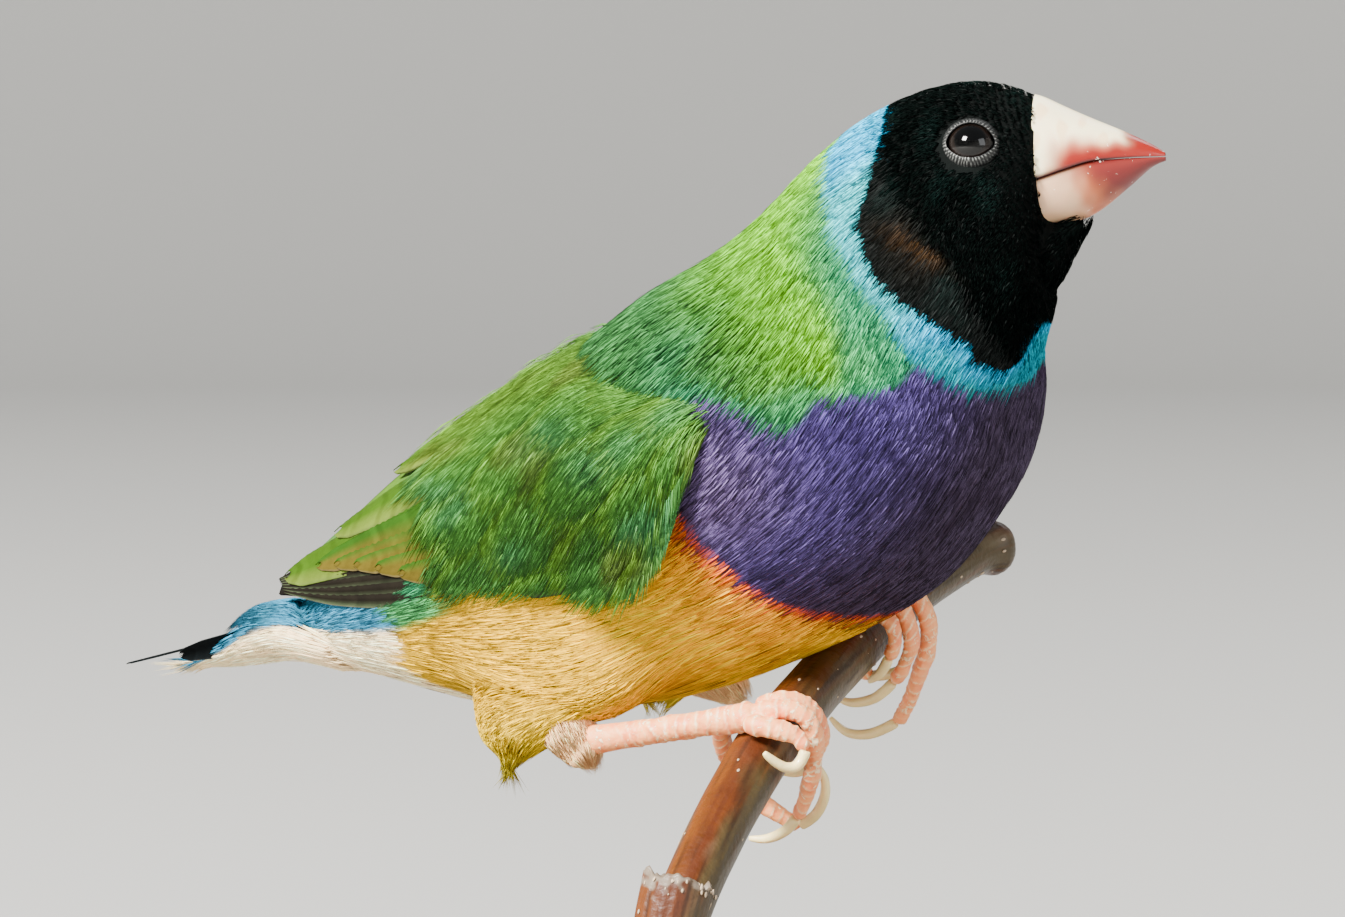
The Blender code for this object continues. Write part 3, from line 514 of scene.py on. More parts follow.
class TubeForm(Surface):
    """A round tube along a smooth line, for legs, toes and the perch.

    Args:
        rows: Places and radii, (N, 4).
        across: A direction that the line never follows, at angle zero's side.
    """

    def __init__(self, rows: list, across: Array) -> None:
        """Keep the line and the reference direction."""
        self.rows = np.array(rows, float)
        self.across = np.asarray(across, float)
        self.u_end = len(self.rows) - 1.0

    def axis(self, u: Array) -> tuple[Array, Array, Array, Array]:
        """The line's places, two directions across it and the radius."""
        here = spline(self.rows, u)
        step = 0.02
        ahead = spline(self.rows, np.clip(u + step, 0, self.u_end))
        behind = spline(self.rows, np.clip(u - step, 0, self.u_end))
        forward = unit(ahead[..., :3] - behind[..., :3])
        first = unit(np.cross(forward, self.across))
        return here[..., :3], first, np.cross(forward, first), here[..., 3]

    def points(self, u: Array, v: Array) -> Array:
        """Places on the tube."""
        centre, first, second, radius = self.axis(u)
        around = np.radians(v)[..., None]
        return centre + (first * np.cos(around) + second * np.sin(around)) * radius[..., None]

    def hint(self, u: Array, v: Array, point: Array) -> Array:
        """Away from the line."""
        return point - self.axis(u)[0]

    def skin(self, rings: int, sides: int, relief: Callable | None = None) -> tuple[Array, Array, Array]:
        """A grid of points over the tube with rounded ends.

        Args:
            rings: Rings along the tube.
            sides: Points round a ring.
            relief: Height in millimetres from distance along and angle.

        Returns:
            The points, the distance along and the angle of each.
        """
        u = np.linspace(0, self.u_end, rings)
        centre, first, second, radius = self.axis(u)
        distance = np.concatenate([[0], np.cumsum(np.linalg.norm(np.diff(centre, axis=0), axis=1))])
        end = np.minimum(distance, distance[-1] - distance) / np.maximum(radius, 1e-6)
        round_off = np.sqrt(np.clip(1 - (1 - np.clip(end, 0, 1)) ** 2, 0.0004, 1))
        angle = np.linspace(-180, 180, sides, endpoint=False)
        far, turn = np.meshgrid(distance, angle, indexing="ij")
        height = relief(far, turn) if relief else np.zeros_like(far)
        reach = (radius * round_off)[:, None] + height * np.minimum(round_off[:, None] * 1.5, 1)
        around = np.radians(turn)[..., None]
        spoke = first[:, None] * np.cos(around) + second[:, None] * np.sin(around)
        return centre[:, None] + spoke * reach[..., None], far, turn


class DrapedBody(BodyForm):
    """The body's coat, which also lies over the tops of the thighs without a step."""

    cells = (120, 120)
    thigh_end = 2.6
    reach = 2.0
    rounds = 10

    def __init__(self) -> None:
        """Measure how far the thighs stand out of the body, and smooth that out."""
        u, v = np.meshgrid(np.linspace(0, self.u_end, self.cells[0]), np.linspace(-180, 180, self.cells[1]),
                           indexing="ij")
        body = BODY.frames(u.ravel(), v.ravel())
        height = np.zeros(u.size)
        for side in Side:
            thigh = ThighForm(side)
            a, b = np.meshgrid(np.linspace(0, self.thigh_end, 40), np.linspace(-180, 180, 60), indexing="ij")
            for place in thigh.points(a.ravel(), b.ravel()):
                offset = place - body.point
                nearest = int((offset**2).sum(-1).argmin())
                rise = float(offset[nearest] @ body.normal[nearest])
                if np.linalg.norm(offset[nearest]) < abs(rise) + self.reach:
                    height[nearest] = max(height[nearest], rise)
        grid = height.reshape(self.cells)
        grid = np.max([np.roll(grid, (i, j), (0, 1)) for i in (-1, 0, 1) for j in (-1, 0, 1)], axis=0)
        for _ in range(self.rounds):
            grid = np.mean([np.roll(grid, (i, j), (0, 1)) for i in (-1, 0, 1) for j in (-1, 0, 1)], axis=0)
        self.height = grid

    def points(self, u: Array, v: Array) -> Array:
        """Places on the body, raised over the thighs."""
        flat = super().points(u, v)
        rows, columns = self.cells
        a = np.clip(u / self.u_end, 0, 1) * (rows - 1)
        b = (v + 180) % 360 / 360 * (columns - 1)
        i, j = np.clip(a.astype(int), 0, rows - 2), np.clip(b.astype(int), 0, columns - 2)
        f, g = a - i, b - j
        rise = ((self.height[i, j] * (1 - f) + self.height[i + 1, j] * f) * (1 - g)
                + (self.height[i, j + 1] * (1 - f) + self.height[i + 1, j + 1] * f) * g)
        middle = (super().points(u, v * 0) + super().points(u, v * 0 + 180)) / 2
        return flat + unit(flat - middle) * rise[..., None]


class CuffForm(TubeForm):
    """The cuff of loose pale feathers that hangs round the heel."""

    def lie(self, u: Array, v: Array, at: Frames) -> Array:
        """Down round the leg."""
        want = np.array([0.25, 0.0, -0.97])
        return unit(want - at.normal * (at.normal @ want)[:, None] + unit(at.by_u) * 0.35)


BODY = BodyForm()
CHIN = ChinForm()
TAIL = TailForm()
DRAPED = DrapedBody()


@dataclass(frozen=True)
class EyePlace:
    """Where the eyes sit in the head's own frame, and how they face."""

    x: float = 32.6
    out: float = 6.3
    z: float = 99.1
    radius: float = 2.5
    up_tilt: float = 20.0
    forward_tilt: float = 5.0
    clear: float = 2.95

    def axis(self, side: Side) -> tuple[Array, Array]:
        """The centre of an eye and its outward direction."""
        up, forward = math.radians(self.up_tilt), math.radians(self.forward_tilt)
        out = np.array([math.sin(forward), side.value * math.cos(up) * math.cos(forward), math.sin(up)])
        centre = np.array([self.x, side.value * self.out, self.z])
        ends = BODY.turned(np.stack([centre, centre + out]))
        return ends[0], unit(ends[1] - ends[0])

    def is_clear(self, points: Array, room: float) -> Array:
        """Whether places lie further than room from both eyes' axes, or behind the eye."""
        clear = np.ones(len(points), bool)
        for side in Side:
            centre, out = self.axis(side)
            offset = points - centre
            depth = offset @ out
            away = np.linalg.norm(offset - depth[:, None] * out, axis=-1)
            clear &= (away > room) | (depth < -1.0)
        return clear


EYES = EyePlace()


class Hue:
    """The plumage's colours, among them lighter and darker copies that are painted light and shade."""

    mask = srgb("050908")
    mask_gloss = srgb("0b1917")
    ear = srgb("3a2816")
    band = srgb("08a4d2")
    band_low = srgb("08899c")
    band_pale = srgb("3cb4b4")
    teal = srgb("248a60")
    lime = srgb("66b00c")
    mantle = srgb("316a34")
    purple = srgb("43376c")
    purple_shaded_front = srgb("3a3032")
    purple_lit_rear = srgb("604f78")
    rim = srgb("c8300c")
    gold = srgb("ffc400")
    gold_front = srgb("e09806")
    gold_deep = srgb("c49a00")
    gold_pale = srgb("d6b810")
    green_tuft = srgb("a4a030")
    vent = srgb("ffe0b0")
    patch = srgb("3d8a4c")
    blue = srgb("2d7594")
    blue_dark = srgb("174a5a")
    black = srgb("0c1113")
    wing_lime = srgb("659428")
    wing_green = srgb("4b8632")
    wing_deep = srgb("38692c")
    wing_teal = srgb("3a845c")
    wing_olive = srgb("68742c")
    wing_buff = srgb("4e4414")
    tertial = srgb("23440c")
    tertial_tip = srgb("304c0a")
    quill_dark = srgb("14110c")
    quill_pale = srgb("3a4430")
    quill_edge = srgb("443c2c")


class Plumage:
    """The markings: which colour a feather has by its place."""

    mask_edge = (
        [-180, -166, -158, -150, -146, -132, -128, -118, -110, -102, -90, -78, -66, -62, -55, -46, -36, -20, 0,
         20, 46, 66, 78, 90, 110, 130, 150, 170, 180],
        [1.45, 1.53, 2.05, 2.63, 2.78, 2.92, 2.8, 2.9, 2.97, 3.02, 3.07, 3.05, 2.93, 2.83, 2.65, 2.47, 2.27,
         2.12, 2.05, 2.12, 2.45, 2.82, 2.85, 2.75, 2.6, 2.3, 1.9, 1.5, 1.45])
    band_edge = (
        [-180, -162, -150, -140, -126, -118, -111, -102, -90, -78, -66, -50, -38, -22, -6, 6, 22, 38, 60, 80,
         100, 120, 140, 160, 180],
        [2.15, 2.67, 2.95, 3.15, 3.25, 3.3, 3.3, 3.23, 3.22, 3.2, 3.17, 3.07, 2.97, 2.86, 2.68, 2.68, 2.85,
         2.97, 3.1, 3.1, 2.95, 2.8, 2.6, 2.3, 2.15])
    green_edge = ([3.2, 3.37, 3.65, 3.85, 4.0, 4.1, 4.3, 4.5, 4.62, 4.8, 5.2],
                  [122, 117, 112, 108, 104, 98, 98, 96, 88, 74, 70])
    gold_edge = ([90, 105, 124, 134, 144, 158, 170, 180], [5.5, 5.62, 5.65, 5.63, 5.57, 5.47, 5.37, 5.3])
    vent_edge = ([90, 102, 118, 138, 150, 180], [7.95, 8.13, 8.32, 8.25, 7.95, 7.8])
    tail_edge = ([0, 1.2, 2.4, 4], [72, 84, 100, 112])
    station_length = 12.0
    lobe_tips = (0.2, 0.3, 0.42, 0.54, 0.66)
    lobe_length = 0.13
    lobe_width = 0.17
    lobe_pitch = 0.26

    def body(self, u: Array, v: Array) -> Array:
        """The body's colour by station and signed angle.

        Args:
            u: Stations along the body.
            v: Angles from the top in degrees, below zero on the right.

        Returns:
            A linear colour for each place.
        """
        t = np.abs(v)
        where = BODY.points(u, v)
        fray = ripple(where, 2.2, 5) * 0.02
        past_mask = (u - np.interp(v, *self.mask_edge) + fray) * self.station_length
        past_band = (u - np.interp(v, *self.band_edge) + fray) * self.station_length
        under_green = t - np.interp(u, *self.green_edge) + ripple(where, 3.0, 6) * 2
        past_gold = (u - np.interp(t, *self.gold_edge) + fray) * self.station_length
        past_vent = (u - np.interp(t, *self.vent_edge)) * self.station_length
        mask = mix(Hue.mask, Hue.mask_gloss, smooth(0.1, 1.2, ripple(where, 3.5, 1)) * 0.5)
        arc = np.exp(-(((u - 2.60 + (t - 84) * 0.012) / 0.07) ** 2) - (((t - 87) / 11) ** 2))
        arc += 0.18 * np.exp(-(((u - 2.66) / 0.2) ** 2) - (((t - 84) / 12) ** 2))
        mask = mix(mask, Hue.ear, np.clip(arc * (0.7 + 0.4 * ripple(where, 1.5, 2)), 0, 1))
        low = smooth(85, 125, t)
        band = mix(Hue.band, Hue.band_low, low * smooth(0, 3, past_mask))
        pale = smooth(35, 55, t) * (1 - smooth(95, 115, t))
        band = mix(band, Hue.band_pale, pale * 0.8)
        green = mix(Hue.lime, Hue.mantle, smooth(3.6, 4.8, u))
        green = mix(green, Hue.teal, 0.85 * (1 - smooth(0, 7, past_band)) * smooth(20, 70, t))
        green = mix(green, Hue.teal, 0.75 * smooth(0.1, 0.9, ripple(where, 7, 3)) * smooth(40, 90, t))
        green = mix(green, Hue.teal, 0.6 * smooth(-14, -2, under_green))
        # painted light and shade: the purple lighter towards the upper rear and darker on the lower front
        purple = mix(Hue.purple, Hue.purple_lit_rear, smooth(4.3, 5.3, u) * (1 - smooth(95, 130, t)))
        purple = mix(purple, Hue.purple_shaded_front, smooth(110, 160, t) * 0.75)
        gold = mix(Hue.gold_front, Hue.gold, smooth(0, 9, past_gold))
        # painted shade: the gold darker towards the underside
        gold = mix(gold, Hue.gold_deep, smooth(140, 172, t) * 0.55)
        gold = mix(gold, Hue.gold_pale, smooth(-3, 0, past_vent) * 0.7)
        # painted shade: the gold darker from the belly's middle back, where the key light falls strongest
        gold = mix(gold, Hue.gold_deep, smooth(6.2, 7.0, u) * 0.9)
        gold = mix(gold, Hue.rim, (1 - smooth(0.2, 1.6, past_gold)) * 0.9)
        patch = smooth(7.3, 7.5, u) * (1 - smooth(88, 94, t))
        gold = mix(gold, Hue.patch, patch)
        blue = mix(Hue.blue, Hue.blue_dark, smooth(-0.2, 0.8, ripple(where, 2.5, 4)) * 0.6)
        rear = mix(blue, Hue.vent, smooth(-4, 4, t - np.interp(u, [8.1, 8.6, 8.9], [90, 82, 72])))
        colour = mix(mask, band, smooth(-0.3, 0.3, past_mask))
        under = mix(green, purple, smooth(-1.5, 1.5, under_green) * smooth(-0.3, 0.4, past_band))
        colour = mix(colour, under, smooth(-0.6, 0.6, past_band))
        below = smooth(80, 88, t) * smooth(5.0, 5.3, u)
        colour = mix(colour, gold, smooth(-0.4, 0.4, past_gold) * np.maximum(below, smooth(5.9, 6.2, u)))
        back = smooth(5.2, 5.6, u) * (1 - smooth(74, 82, t)) * (1 - smooth(7.6, 7.9, u))
        colour = mix(colour, green, back)
        return mix(colour, rear, smooth(-0.8, 0.8, past_vent))

    def chin(self, u: Array, v: Array) -> Array:
        """The chin's colour."""
        return np.tile(Hue.mask, (len(u), 1))

    def tail(self, u: Array, v: Array) -> Array:
        """Blue above and white below."""
        where = TAIL.points(u, v)
        blue = mix(Hue.blue, Hue.blue_dark, smooth(-0.2, 0.8, ripple(where, 2.5, 4)) * 0.7)
        return mix(blue, Hue.vent, smooth(-5, 5, np.abs(v) - np.interp(u, *self.tail_edge)))

    def thigh(self, form: ThighForm) -> Callable[[Array, Array], Array]:
        """The colour of a thigh, greener towards the tuft's point."""
        def colour(u: Array, v: Array) -> Array:
            """The colour at places on the thigh."""
            height = form.points(u, v)[..., 2]
            low = form.rows[-1][2]
            gold = mix(Hue.gold_deep, Hue.gold_pale, 0.7 * (1 - smooth(low + 2, low + 7, height)))
            return mix(gold, Hue.green_tuft, (1 - smooth(low, low + 3, height)) * 0.7)
        return colour

    def wing(self, form: WingForm) -> Callable[[Array, Array], Array]:
        """The colour of the wing's small feathers, in patches of a feather's size."""
        def colour(u: Array, v: Array) -> Array:
            """The colour at places on the wing."""
            where = form.points(u, v)
            base = mix(Hue.wing_lime, Hue.wing_green, smooth(0.05, 0.45, v))
            base = mix(base, Hue.wing_deep, smooth(0.5, 0.95, v) * 0.9)
            base = mix(base, Hue.wing_teal, smooth(0.2, 0.9, ripple(where, 7.0, 21)) * 0.4)
            base = mix(base, Hue.wing_olive, smooth(0.35, 1.0, ripple(where, 6.0, 22)) * 0.5)
            fringe, shadow = self.lobes(u + ripple(where, 3.0, 23) * 0.01, v)
            base = mix(base, Hue.wing_lime, fringe * 0.55) * (1 - 0.55 * shadow)[:, None]
            return mix(base, Hue.mantle, (1 - smooth(0.1, 0.5, u * 0.9 + v)) * 0.9)
        return colour

    def lobes(self, u: Array, v: Array) -> tuple[Array, Array]:
        """Shares of pale fringe and of shadow from rows of rounded feathers that overlap."""
        fringe, shadow = np.zeros(len(u)), np.zeros(len(u))
        for row, tip in reversed(list(enumerate(self.lobe_tips))):
            for place in np.arange(-0.1 + self.lobe_pitch / 2 * (row % 2), 1.2, self.lobe_pitch):
                along = (u - tip + 0.05 * place) / self.lobe_length + 1
                reach = along**2 + ((v - place) / self.lobe_width) ** 2
                near = np.clip((1.35 - reach) / 0.35, 0, 1) * (u > tip - self.lobe_length)
                shadow = np.where(reach < 1, 0, np.maximum(shadow, near))
                fringe = np.where(reach < 1, smooth(0.45, 0.95, reach), fringe)
        return fringe, shadow


PLUMAGE = Plumage()


@dataclass(frozen=True)
class Tuft:
    """How the barbs of one kind of small feather grow.

    Args:
        barbs: Barbs in a feather.
        length: A barb's length.
        half_width: Half of the feather's width.
        barb_width: A barb's width.
        root_depth: How deep a barb's root sits under the surface.
        tip_lift: How high its tip stands.
        fan: Degrees from the middle barb to the outer one.
        wander: Random degrees from feather to feather.
        shade: Spread of brightness from feather to feather.
        barb_shade: Spread of brightness from barb to barb.
        loose: Random share added to a barb's lift.
        root_shade: Brightness at the root, a painted shade deep in the coat.
        gaps: Share of barbs painted dark and lifted, as painted shade in the partings of the coat.
        glints: Share of barbs that catch the light.
    """

    barbs: int
    length: float
    half_width: float
    barb_width: float
    root_depth: float = 0.7
    tip_lift: float = 0.15
    fan: float = 6.0
    wander: float = 4.0
    shade: float = 0.08
    barb_shade: float = 0.22
    loose: float = 0.25
    root_shade: float = 0.5
    gaps: float = 0.04
    glints: float = 0.05


BARB_FACES = np.array([(0, 1, 3), (0, 3, 2), (0, 2, 1), (4, 3, 1), (4, 2, 3), (4, 1, 2)])
MIDDLE_AT = 0.45


class Coat:
    """Small feathers gathered into one piece, each barb a slim closed body."""

    def __init__(self, name: str) -> None:
        """Start an empty piece."""
        self.name = name
        self.points: list[Array] = []
        self.colours: list[Array] = []
        self.patches: list[Array] = []

    def grow(self, surface: Surface, places: tuple[Array, Array], tuft: Tuft, colour: Callable,
             draw: np.random.Generator, keep: Callable | None = None, size: Callable | None = None) -> None:
        """Add feathers at places on a surface.

        Args:
            surface: What they grow from.
            places: The two parameters of each feather's root.
            tuft: How they grow.
            colour: Colour from the two parameters.
            draw: Random source.
            keep: Whether to keep a barb, from its root, middle and tip.
            size: Length factor from the two parameters.
        """
        u, v = places
        count, barbs = len(u), tuft.barbs
        at = surface.frames(u, v)
        lie = surface.lie(u, v, at)
        turn = np.radians(draw.normal(0, tuft.wander, count))[:, None]
        lie = lie * np.cos(turn) + np.cross(at.normal, lie) * np.sin(turn)
        across = np.cross(at.normal, lie)
        factor = (size(u, v) if size else np.ones(count)) * draw.uniform(0.85, 1.15, count)

        def each(values: Array) -> Array:
            """A feather's value for each of its barbs."""
            return np.repeat(values, barbs, axis=0)

        offset = np.tile(np.linspace(-1, 1, barbs), count) + draw.normal(0, 0.12, count * barbs)
        back = draw.uniform(0, 0.4, count * barbs) * tuft.length * each(factor)
        fan = np.radians(offset * tuft.fan + draw.normal(0, 1.5, count * barbs))[:, None]
        direction = each(lie) * np.cos(fan) + each(across) * np.sin(fan)
        length = tuft.length * each(factor) * (1 - 0.22 * offset**2) * draw.uniform(0.85, 1.1, count * barbs)
        wide = Frames(each(at.point), each(at.by_u), each(at.by_v), each(at.normal))
        start_u, start_v = wide.steps(each(lie) * back[:, None]
                                      + each(across) * (offset * tuft.half_width * each(factor))[:, None])
        step_u, step_v = wide.steps(direction)
        root_u, root_v = each(u) + start_u, each(v) + start_v
        middle_u, middle_v = root_u + step_u * length * MIDDLE_AT, root_v + step_v * length * MIDDLE_AT
        tip_u, tip_v = root_u + step_u * length, root_v + step_v * length
        middle = surface.frames(middle_u, middle_v)
        beyond = np.clip(tip_u - surface.u_end, 0, None) + np.clip(-tip_u, 0, None)
        past_end = beyond / np.maximum(np.abs(step_u), 1e-6)
        tip_point = surface.points(tip_u, tip_v) + direction * past_end[:, None]
        role = draw.random(count * barbs)
        # painted shade: a share of barbs is painted dark and lifted, to stand for the shade in partings of the
        # coat
        parting_shade, glint = role < tuft.gaps, role > 1 - tuft.glints
        lift = each(draw.uniform(-0.5, 0.5, count)) * tuft.loose
        lift += draw.uniform(0, 1, count * barbs) * tuft.loose * 0.5
        lift += np.where(parting_shade | glint, tuft.loose * 0.5, 0)
        width = tuft.barb_width * draw.uniform(0.75, 1.25, count * barbs)
        side = np.cross(direction, middle.normal)
        root = surface.points(root_u, root_v) - each(at.normal) * tuft.root_depth
        mid_height = (tuft.tip_lift * 0.55 + lift * 0.5)[:, None]
        mid = middle.point + middle.normal * mid_height
        tip = tip_point + middle.normal * (tuft.tip_lift + lift)[:, None]
        half = side * (width / 2)[:, None]
        top = mid + middle.normal * (width * 0.42)[:, None]
        shape = np.stack([root, mid - half, mid + half, top, tip], 1)
        bright = each(draw.normal(1, tuft.shade, count)) * draw.normal(1, tuft.barb_shade, count * barbs)
        bright = np.where(parting_shade, 0.28, np.where(glint, 1.5, bright.clip(0.4, 1.6)))
        tint = colour(middle_u, middle_v) * bright[:, None]
        tint += np.where(glint, 0.006, 0)[:, None]
        # painted shade at the root, deep in the coat, and painted light on each barb's ridge and tip
        shades = np.stack([tint * tuft.root_shade, tint * 0.9, tint * 0.9, tint * 1.05, tint * 1.12], 1)
        centre = each(surface.unwrap(u, v))[:, None]
        along = np.array([0.0, MIDDLE_AT, MIDDLE_AT, MIDDLE_AT, 1.0]) - 0.5
        aside = offset[:, None] * 0.4 + np.array([0.0, -0.05, 0.05, 0.0, 0.0])
        patch = centre + np.stack([aside, np.broadcast_to(along, aside.shape)], -1) * BAKE_PATCH
        kept = np.linalg.norm(tip - root, axis=1) < length * 1.5 + tuft.root_depth + tuft.tip_lift
        if keep is not None:
            kept &= keep(root, mid, tip)
        shape, shades, patch = shape[kept], shades[kept], patch[kept]
        self.points.append(shape.reshape(-1, 3))
        self.colours.append(shades.reshape(-1, 3))
        self.patches.append(patch.reshape(-1, 2))

    def build(self) -> bpy.types.Object:
        """Make the piece."""
        points = np.concatenate(self.points)
        first = np.arange(0, len(points), 5)[:, None, None]
        faces = (BARB_FACES[None] + first).reshape(-1, 3)
        LOG.info("%s: %d triangles", self.name, len(faces))
        return make_object(self.name, points, faces, np.concatenate(self.colours),
                           np.clip(np.concatenate(self.patches), 0.001, 0.999))


class Shading:
    """Node groups that several finishes share."""

    def __init__(self) -> None:
        """Make the three groups."""
        self.variation = self._variation()
        self.flaking_and_highlights = self._flaking_and_highlights()
        self.relief = self._relief()

    @staticmethod
    def _group(name: str, inputs: dict[str, tuple[str, float]], outputs: dict[str, str]) -> tuple:
        """An empty group with named sockets, and its input and output nodes."""
        tree = bpy.data.node_groups.new(name, "ShaderNodeTree")
        for label, (kind, value) in inputs.items():
            socket = tree.interface.new_socket(name=label, in_out="INPUT", socket_type=kind)
            if kind == "NodeSocketFloat":
                socket.default_value = value
        for label, kind in outputs.items():
            tree.interface.new_socket(name=label, in_out="OUTPUT", socket_type=kind)
        return tree, tree.nodes.new("NodeGroupInput"), tree.nodes.new("NodeGroupOutput")

    @staticmethod
    def _noise(tree: bpy.types.NodeTree, scale: bpy.types.NodeSocket, detail: float) -> bpy.types.Node:
        """A noise texture over the object's own space."""
        place = tree.nodes.new("ShaderNodeTexCoord")
        noise = tree.nodes.new("ShaderNodeTexNoise")
        noise.inputs["Detail"].default_value = detail
        tree.links.new(place.outputs["Object"], noise.inputs["Vector"])
        tree.links.new(scale, noise.inputs["Scale"])
        return noise

    def _variation(self) -> bpy.types.NodeTree:
        """A colour made lighter and darker by fine noise."""
        tree, source, result = self._group(
            "fine_variation",
            {"Color": ("NodeSocketColor", 0), "Scale": ("NodeSocketFloat", 900),
             "Amount": ("NodeSocketFloat", 0.3)},
            {"Color": "NodeSocketColor"})
        noise = self._noise(tree, source.outputs["Scale"], 3.0)
        centred = tree.nodes.new("ShaderNodeMath")
        centred.operation = "SUBTRACT"
        centred.inputs[1].default_value = 0.5
        tree.links.new(noise.outputs["Fac"], centred.inputs[0])
        factor = tree.nodes.new("ShaderNodeMath")
        factor.operation = "MULTIPLY_ADD"
        factor.inputs[2].default_value = 1.0
        tree.links.new(centred.outputs[0], factor.inputs[0])
        tree.links.new(source.outputs["Amount"], factor.inputs[1])
        scaled = tree.nodes.new("ShaderNodeVectorMath")
        scaled.operation = "SCALE"
        tree.links.new(source.outputs["Color"], scaled.inputs[0])
        tree.links.new(factor.outputs[0], scaled.inputs["Scale"])
        tree.links.new(scaled.outputs[0], result.inputs["Color"])
        return tree

    def _flaking_and_highlights(self) -> bpy.types.NodeTree:
        """A mask and a height for pale marks: flaky bits of lifted skin or horn, and painted highlights."""
        tree, source, result = self._group(
            "flaking_and_highlights",
            {"Scale": ("NodeSocketFloat", 500), "Threshold": ("NodeSocketFloat", 0.6),
             "Softness": ("NodeSocketFloat", 0.04)},
            {"Mask": "NodeSocketFloat", "Height": "NodeSocketFloat"})
        noise = self._noise(tree, source.outputs["Scale"], 4.0)
        noise.inputs["Distortion"].default_value = 1.4
        high = tree.nodes.new("ShaderNodeMath")
        high.operation = "ADD"
        tree.links.new(source.outputs["Threshold"], high.inputs[0])
        tree.links.new(source.outputs["Softness"], high.inputs[1])
        mapped = tree.nodes.new("ShaderNodeMapRange")
        mapped.interpolation_type = "SMOOTHSTEP"
        tree.links.new(noise.outputs["Fac"], mapped.inputs["Value"])
        tree.links.new(source.outputs["Threshold"], mapped.inputs["From Min"])
        tree.links.new(high.outputs[0], mapped.inputs["From Max"])
        tree.links.new(mapped.outputs["Result"], result.inputs["Mask"])
        tree.links.new(mapped.outputs["Result"], result.inputs["Height"])
        return tree

    def _relief(self) -> bpy.types.NodeTree:
        """A fine rough normal."""
        tree, source, result = self._group(
            "fine_relief",
            {"Scale": ("NodeSocketFloat", 1500), "Strength": ("NodeSocketFloat", 0.3),
             "Height": ("NodeSocketFloat", 0.0)},
            {"Normal": "NodeSocketVector"})
        noise = self._noise(tree, source.outputs["Scale"], 5.0)
        total = tree.nodes.new("ShaderNodeMath")
        total.operation = "ADD"
        tree.links.new(noise.outputs["Fac"], total.inputs[0])
        tree.links.new(source.outputs["Height"], total.inputs[1])
        bump = tree.nodes.new("ShaderNodeBump")
        bump.inputs["Distance"].default_value = 0.0002
        tree.links.new(source.outputs["Strength"], bump.inputs["Strength"])
        tree.links.new(total.outputs[0], bump.inputs["Height"])
        tree.links.new(bump.outputs["Normal"], result.inputs["Normal"])
        return tree


@dataclass(frozen=True)
class Finish:
    """One surface finish.

    Args:
        name: The material's name.
        colour: Plain colour as a hex code, or empty to use the piece's markings.
        roughness: Base roughness.
        metallic: Metallic value.
        coat: Weight of a clear coat.
        specular: Level of the mirror-like reflection.
        subsurface: Weight of light inside the surface.
        grain: Scale of the colour's fine variation.
        grain_amount: How strong that is.
        relief: Scale of the fine bump.
        relief_strength: How strong that is.
        flakes_and_highlights: Scale of pale marks, partly flaky skin or horn and partly painted highlights, or
            0 for none.
        flake_and_highlight_threshold: How rare they are.
        flake_and_highlight_colour: Their colour.
    """

    name: str
    colour: str = ""
    roughness: float = 0.5
    metallic: float = 0.0
    coat: float = 0.0
    specular: float = 0.5
    subsurface: float = 0.0
    grain: float = 1200.0
    grain_amount: float = 0.4
    relief: float = 2500.0
    relief_strength: float = 0.2
    flakes_and_highlights: float = 0.0
    flake_and_highlight_threshold: float = 0.6
    flake_and_highlight_colour: str = "f4e8dc"

    def make(self, shading: Shading) -> bpy.types.Material:
        """Build the material, or return it if it is there.

        Args:
            shading: The shared node groups.

        Returns:
            The material.
        """
        found = bpy.data.materials.get(self.name)
        if found:
            return found
        material = bpy.data.materials.new(self.name)
        material.use_nodes = True
        nodes, links = material.node_tree.nodes, material.node_tree.links
        shader = nodes["Principled BSDF"]
        for socket, value in (
                ("Roughness", self.roughness), ("Metallic", self.metallic), ("Coat Weight", self.coat),
                ("Specular IOR Level", self.specular), ("Subsurface Weight", self.subsurface),
                ("Coat Roughness", 0.04), ("Subsurface Scale", 0.0008)):
            shader.inputs[socket].default_value = value
        variation = self._group(nodes, shading.variation)
        variation.inputs["Scale"].default_value = self.grain
        variation.inputs["Amount"].default_value = self.grain_amount
        if self.colour:
            variation.inputs["Color"].default_value = (*srgb(self.colour), 1.0)
        else:
            marking = nodes.new("ShaderNodeAttribute")
            marking.attribute_name = MARKING
            links.new(marking.outputs["Color"], variation.inputs["Color"])
        relief = self._group(nodes, shading.relief)
        relief.inputs["Scale"].default_value = self.relief
        relief.inputs["Strength"].default_value = self.relief_strength
        links.new(relief.outputs["Normal"], shader.inputs["Normal"])
        result = variation.outputs["Color"]
        # pale marks: partly real flaky skin or horn, partly painted highlights
        if self.flakes_and_highlights:
            flaking_and_highlights = self._group(nodes, shading.flaking_and_highlights)
            flaking_and_highlights.inputs["Scale"].default_value = self.flakes_and_highlights
            flaking_and_highlights.inputs["Threshold"].default_value = self.flake_and_highlight_threshold
            blend = nodes.new("ShaderNodeMix")
            blend.data_type = "RGBA"
            blend.inputs[7].default_value = (*srgb(self.flake_and_highlight_colour), 1.0)
            links.new(flaking_and_highlights.outputs["Mask"], blend.inputs[0])
            links.new(result, blend.inputs[6])
            links.new(flaking_and_highlights.outputs["Height"], relief.inputs["Height"])
            result = blend.outputs[2]
        links.new(result, shader.inputs["Base Color"])
        return material

    @staticmethod
    def _group(nodes: bpy.types.Nodes, tree: bpy.types.NodeTree) -> bpy.types.Node:
        """A group node for a node group."""
        node = nodes.new("ShaderNodeGroup")
        node.node_tree = tree
        return node


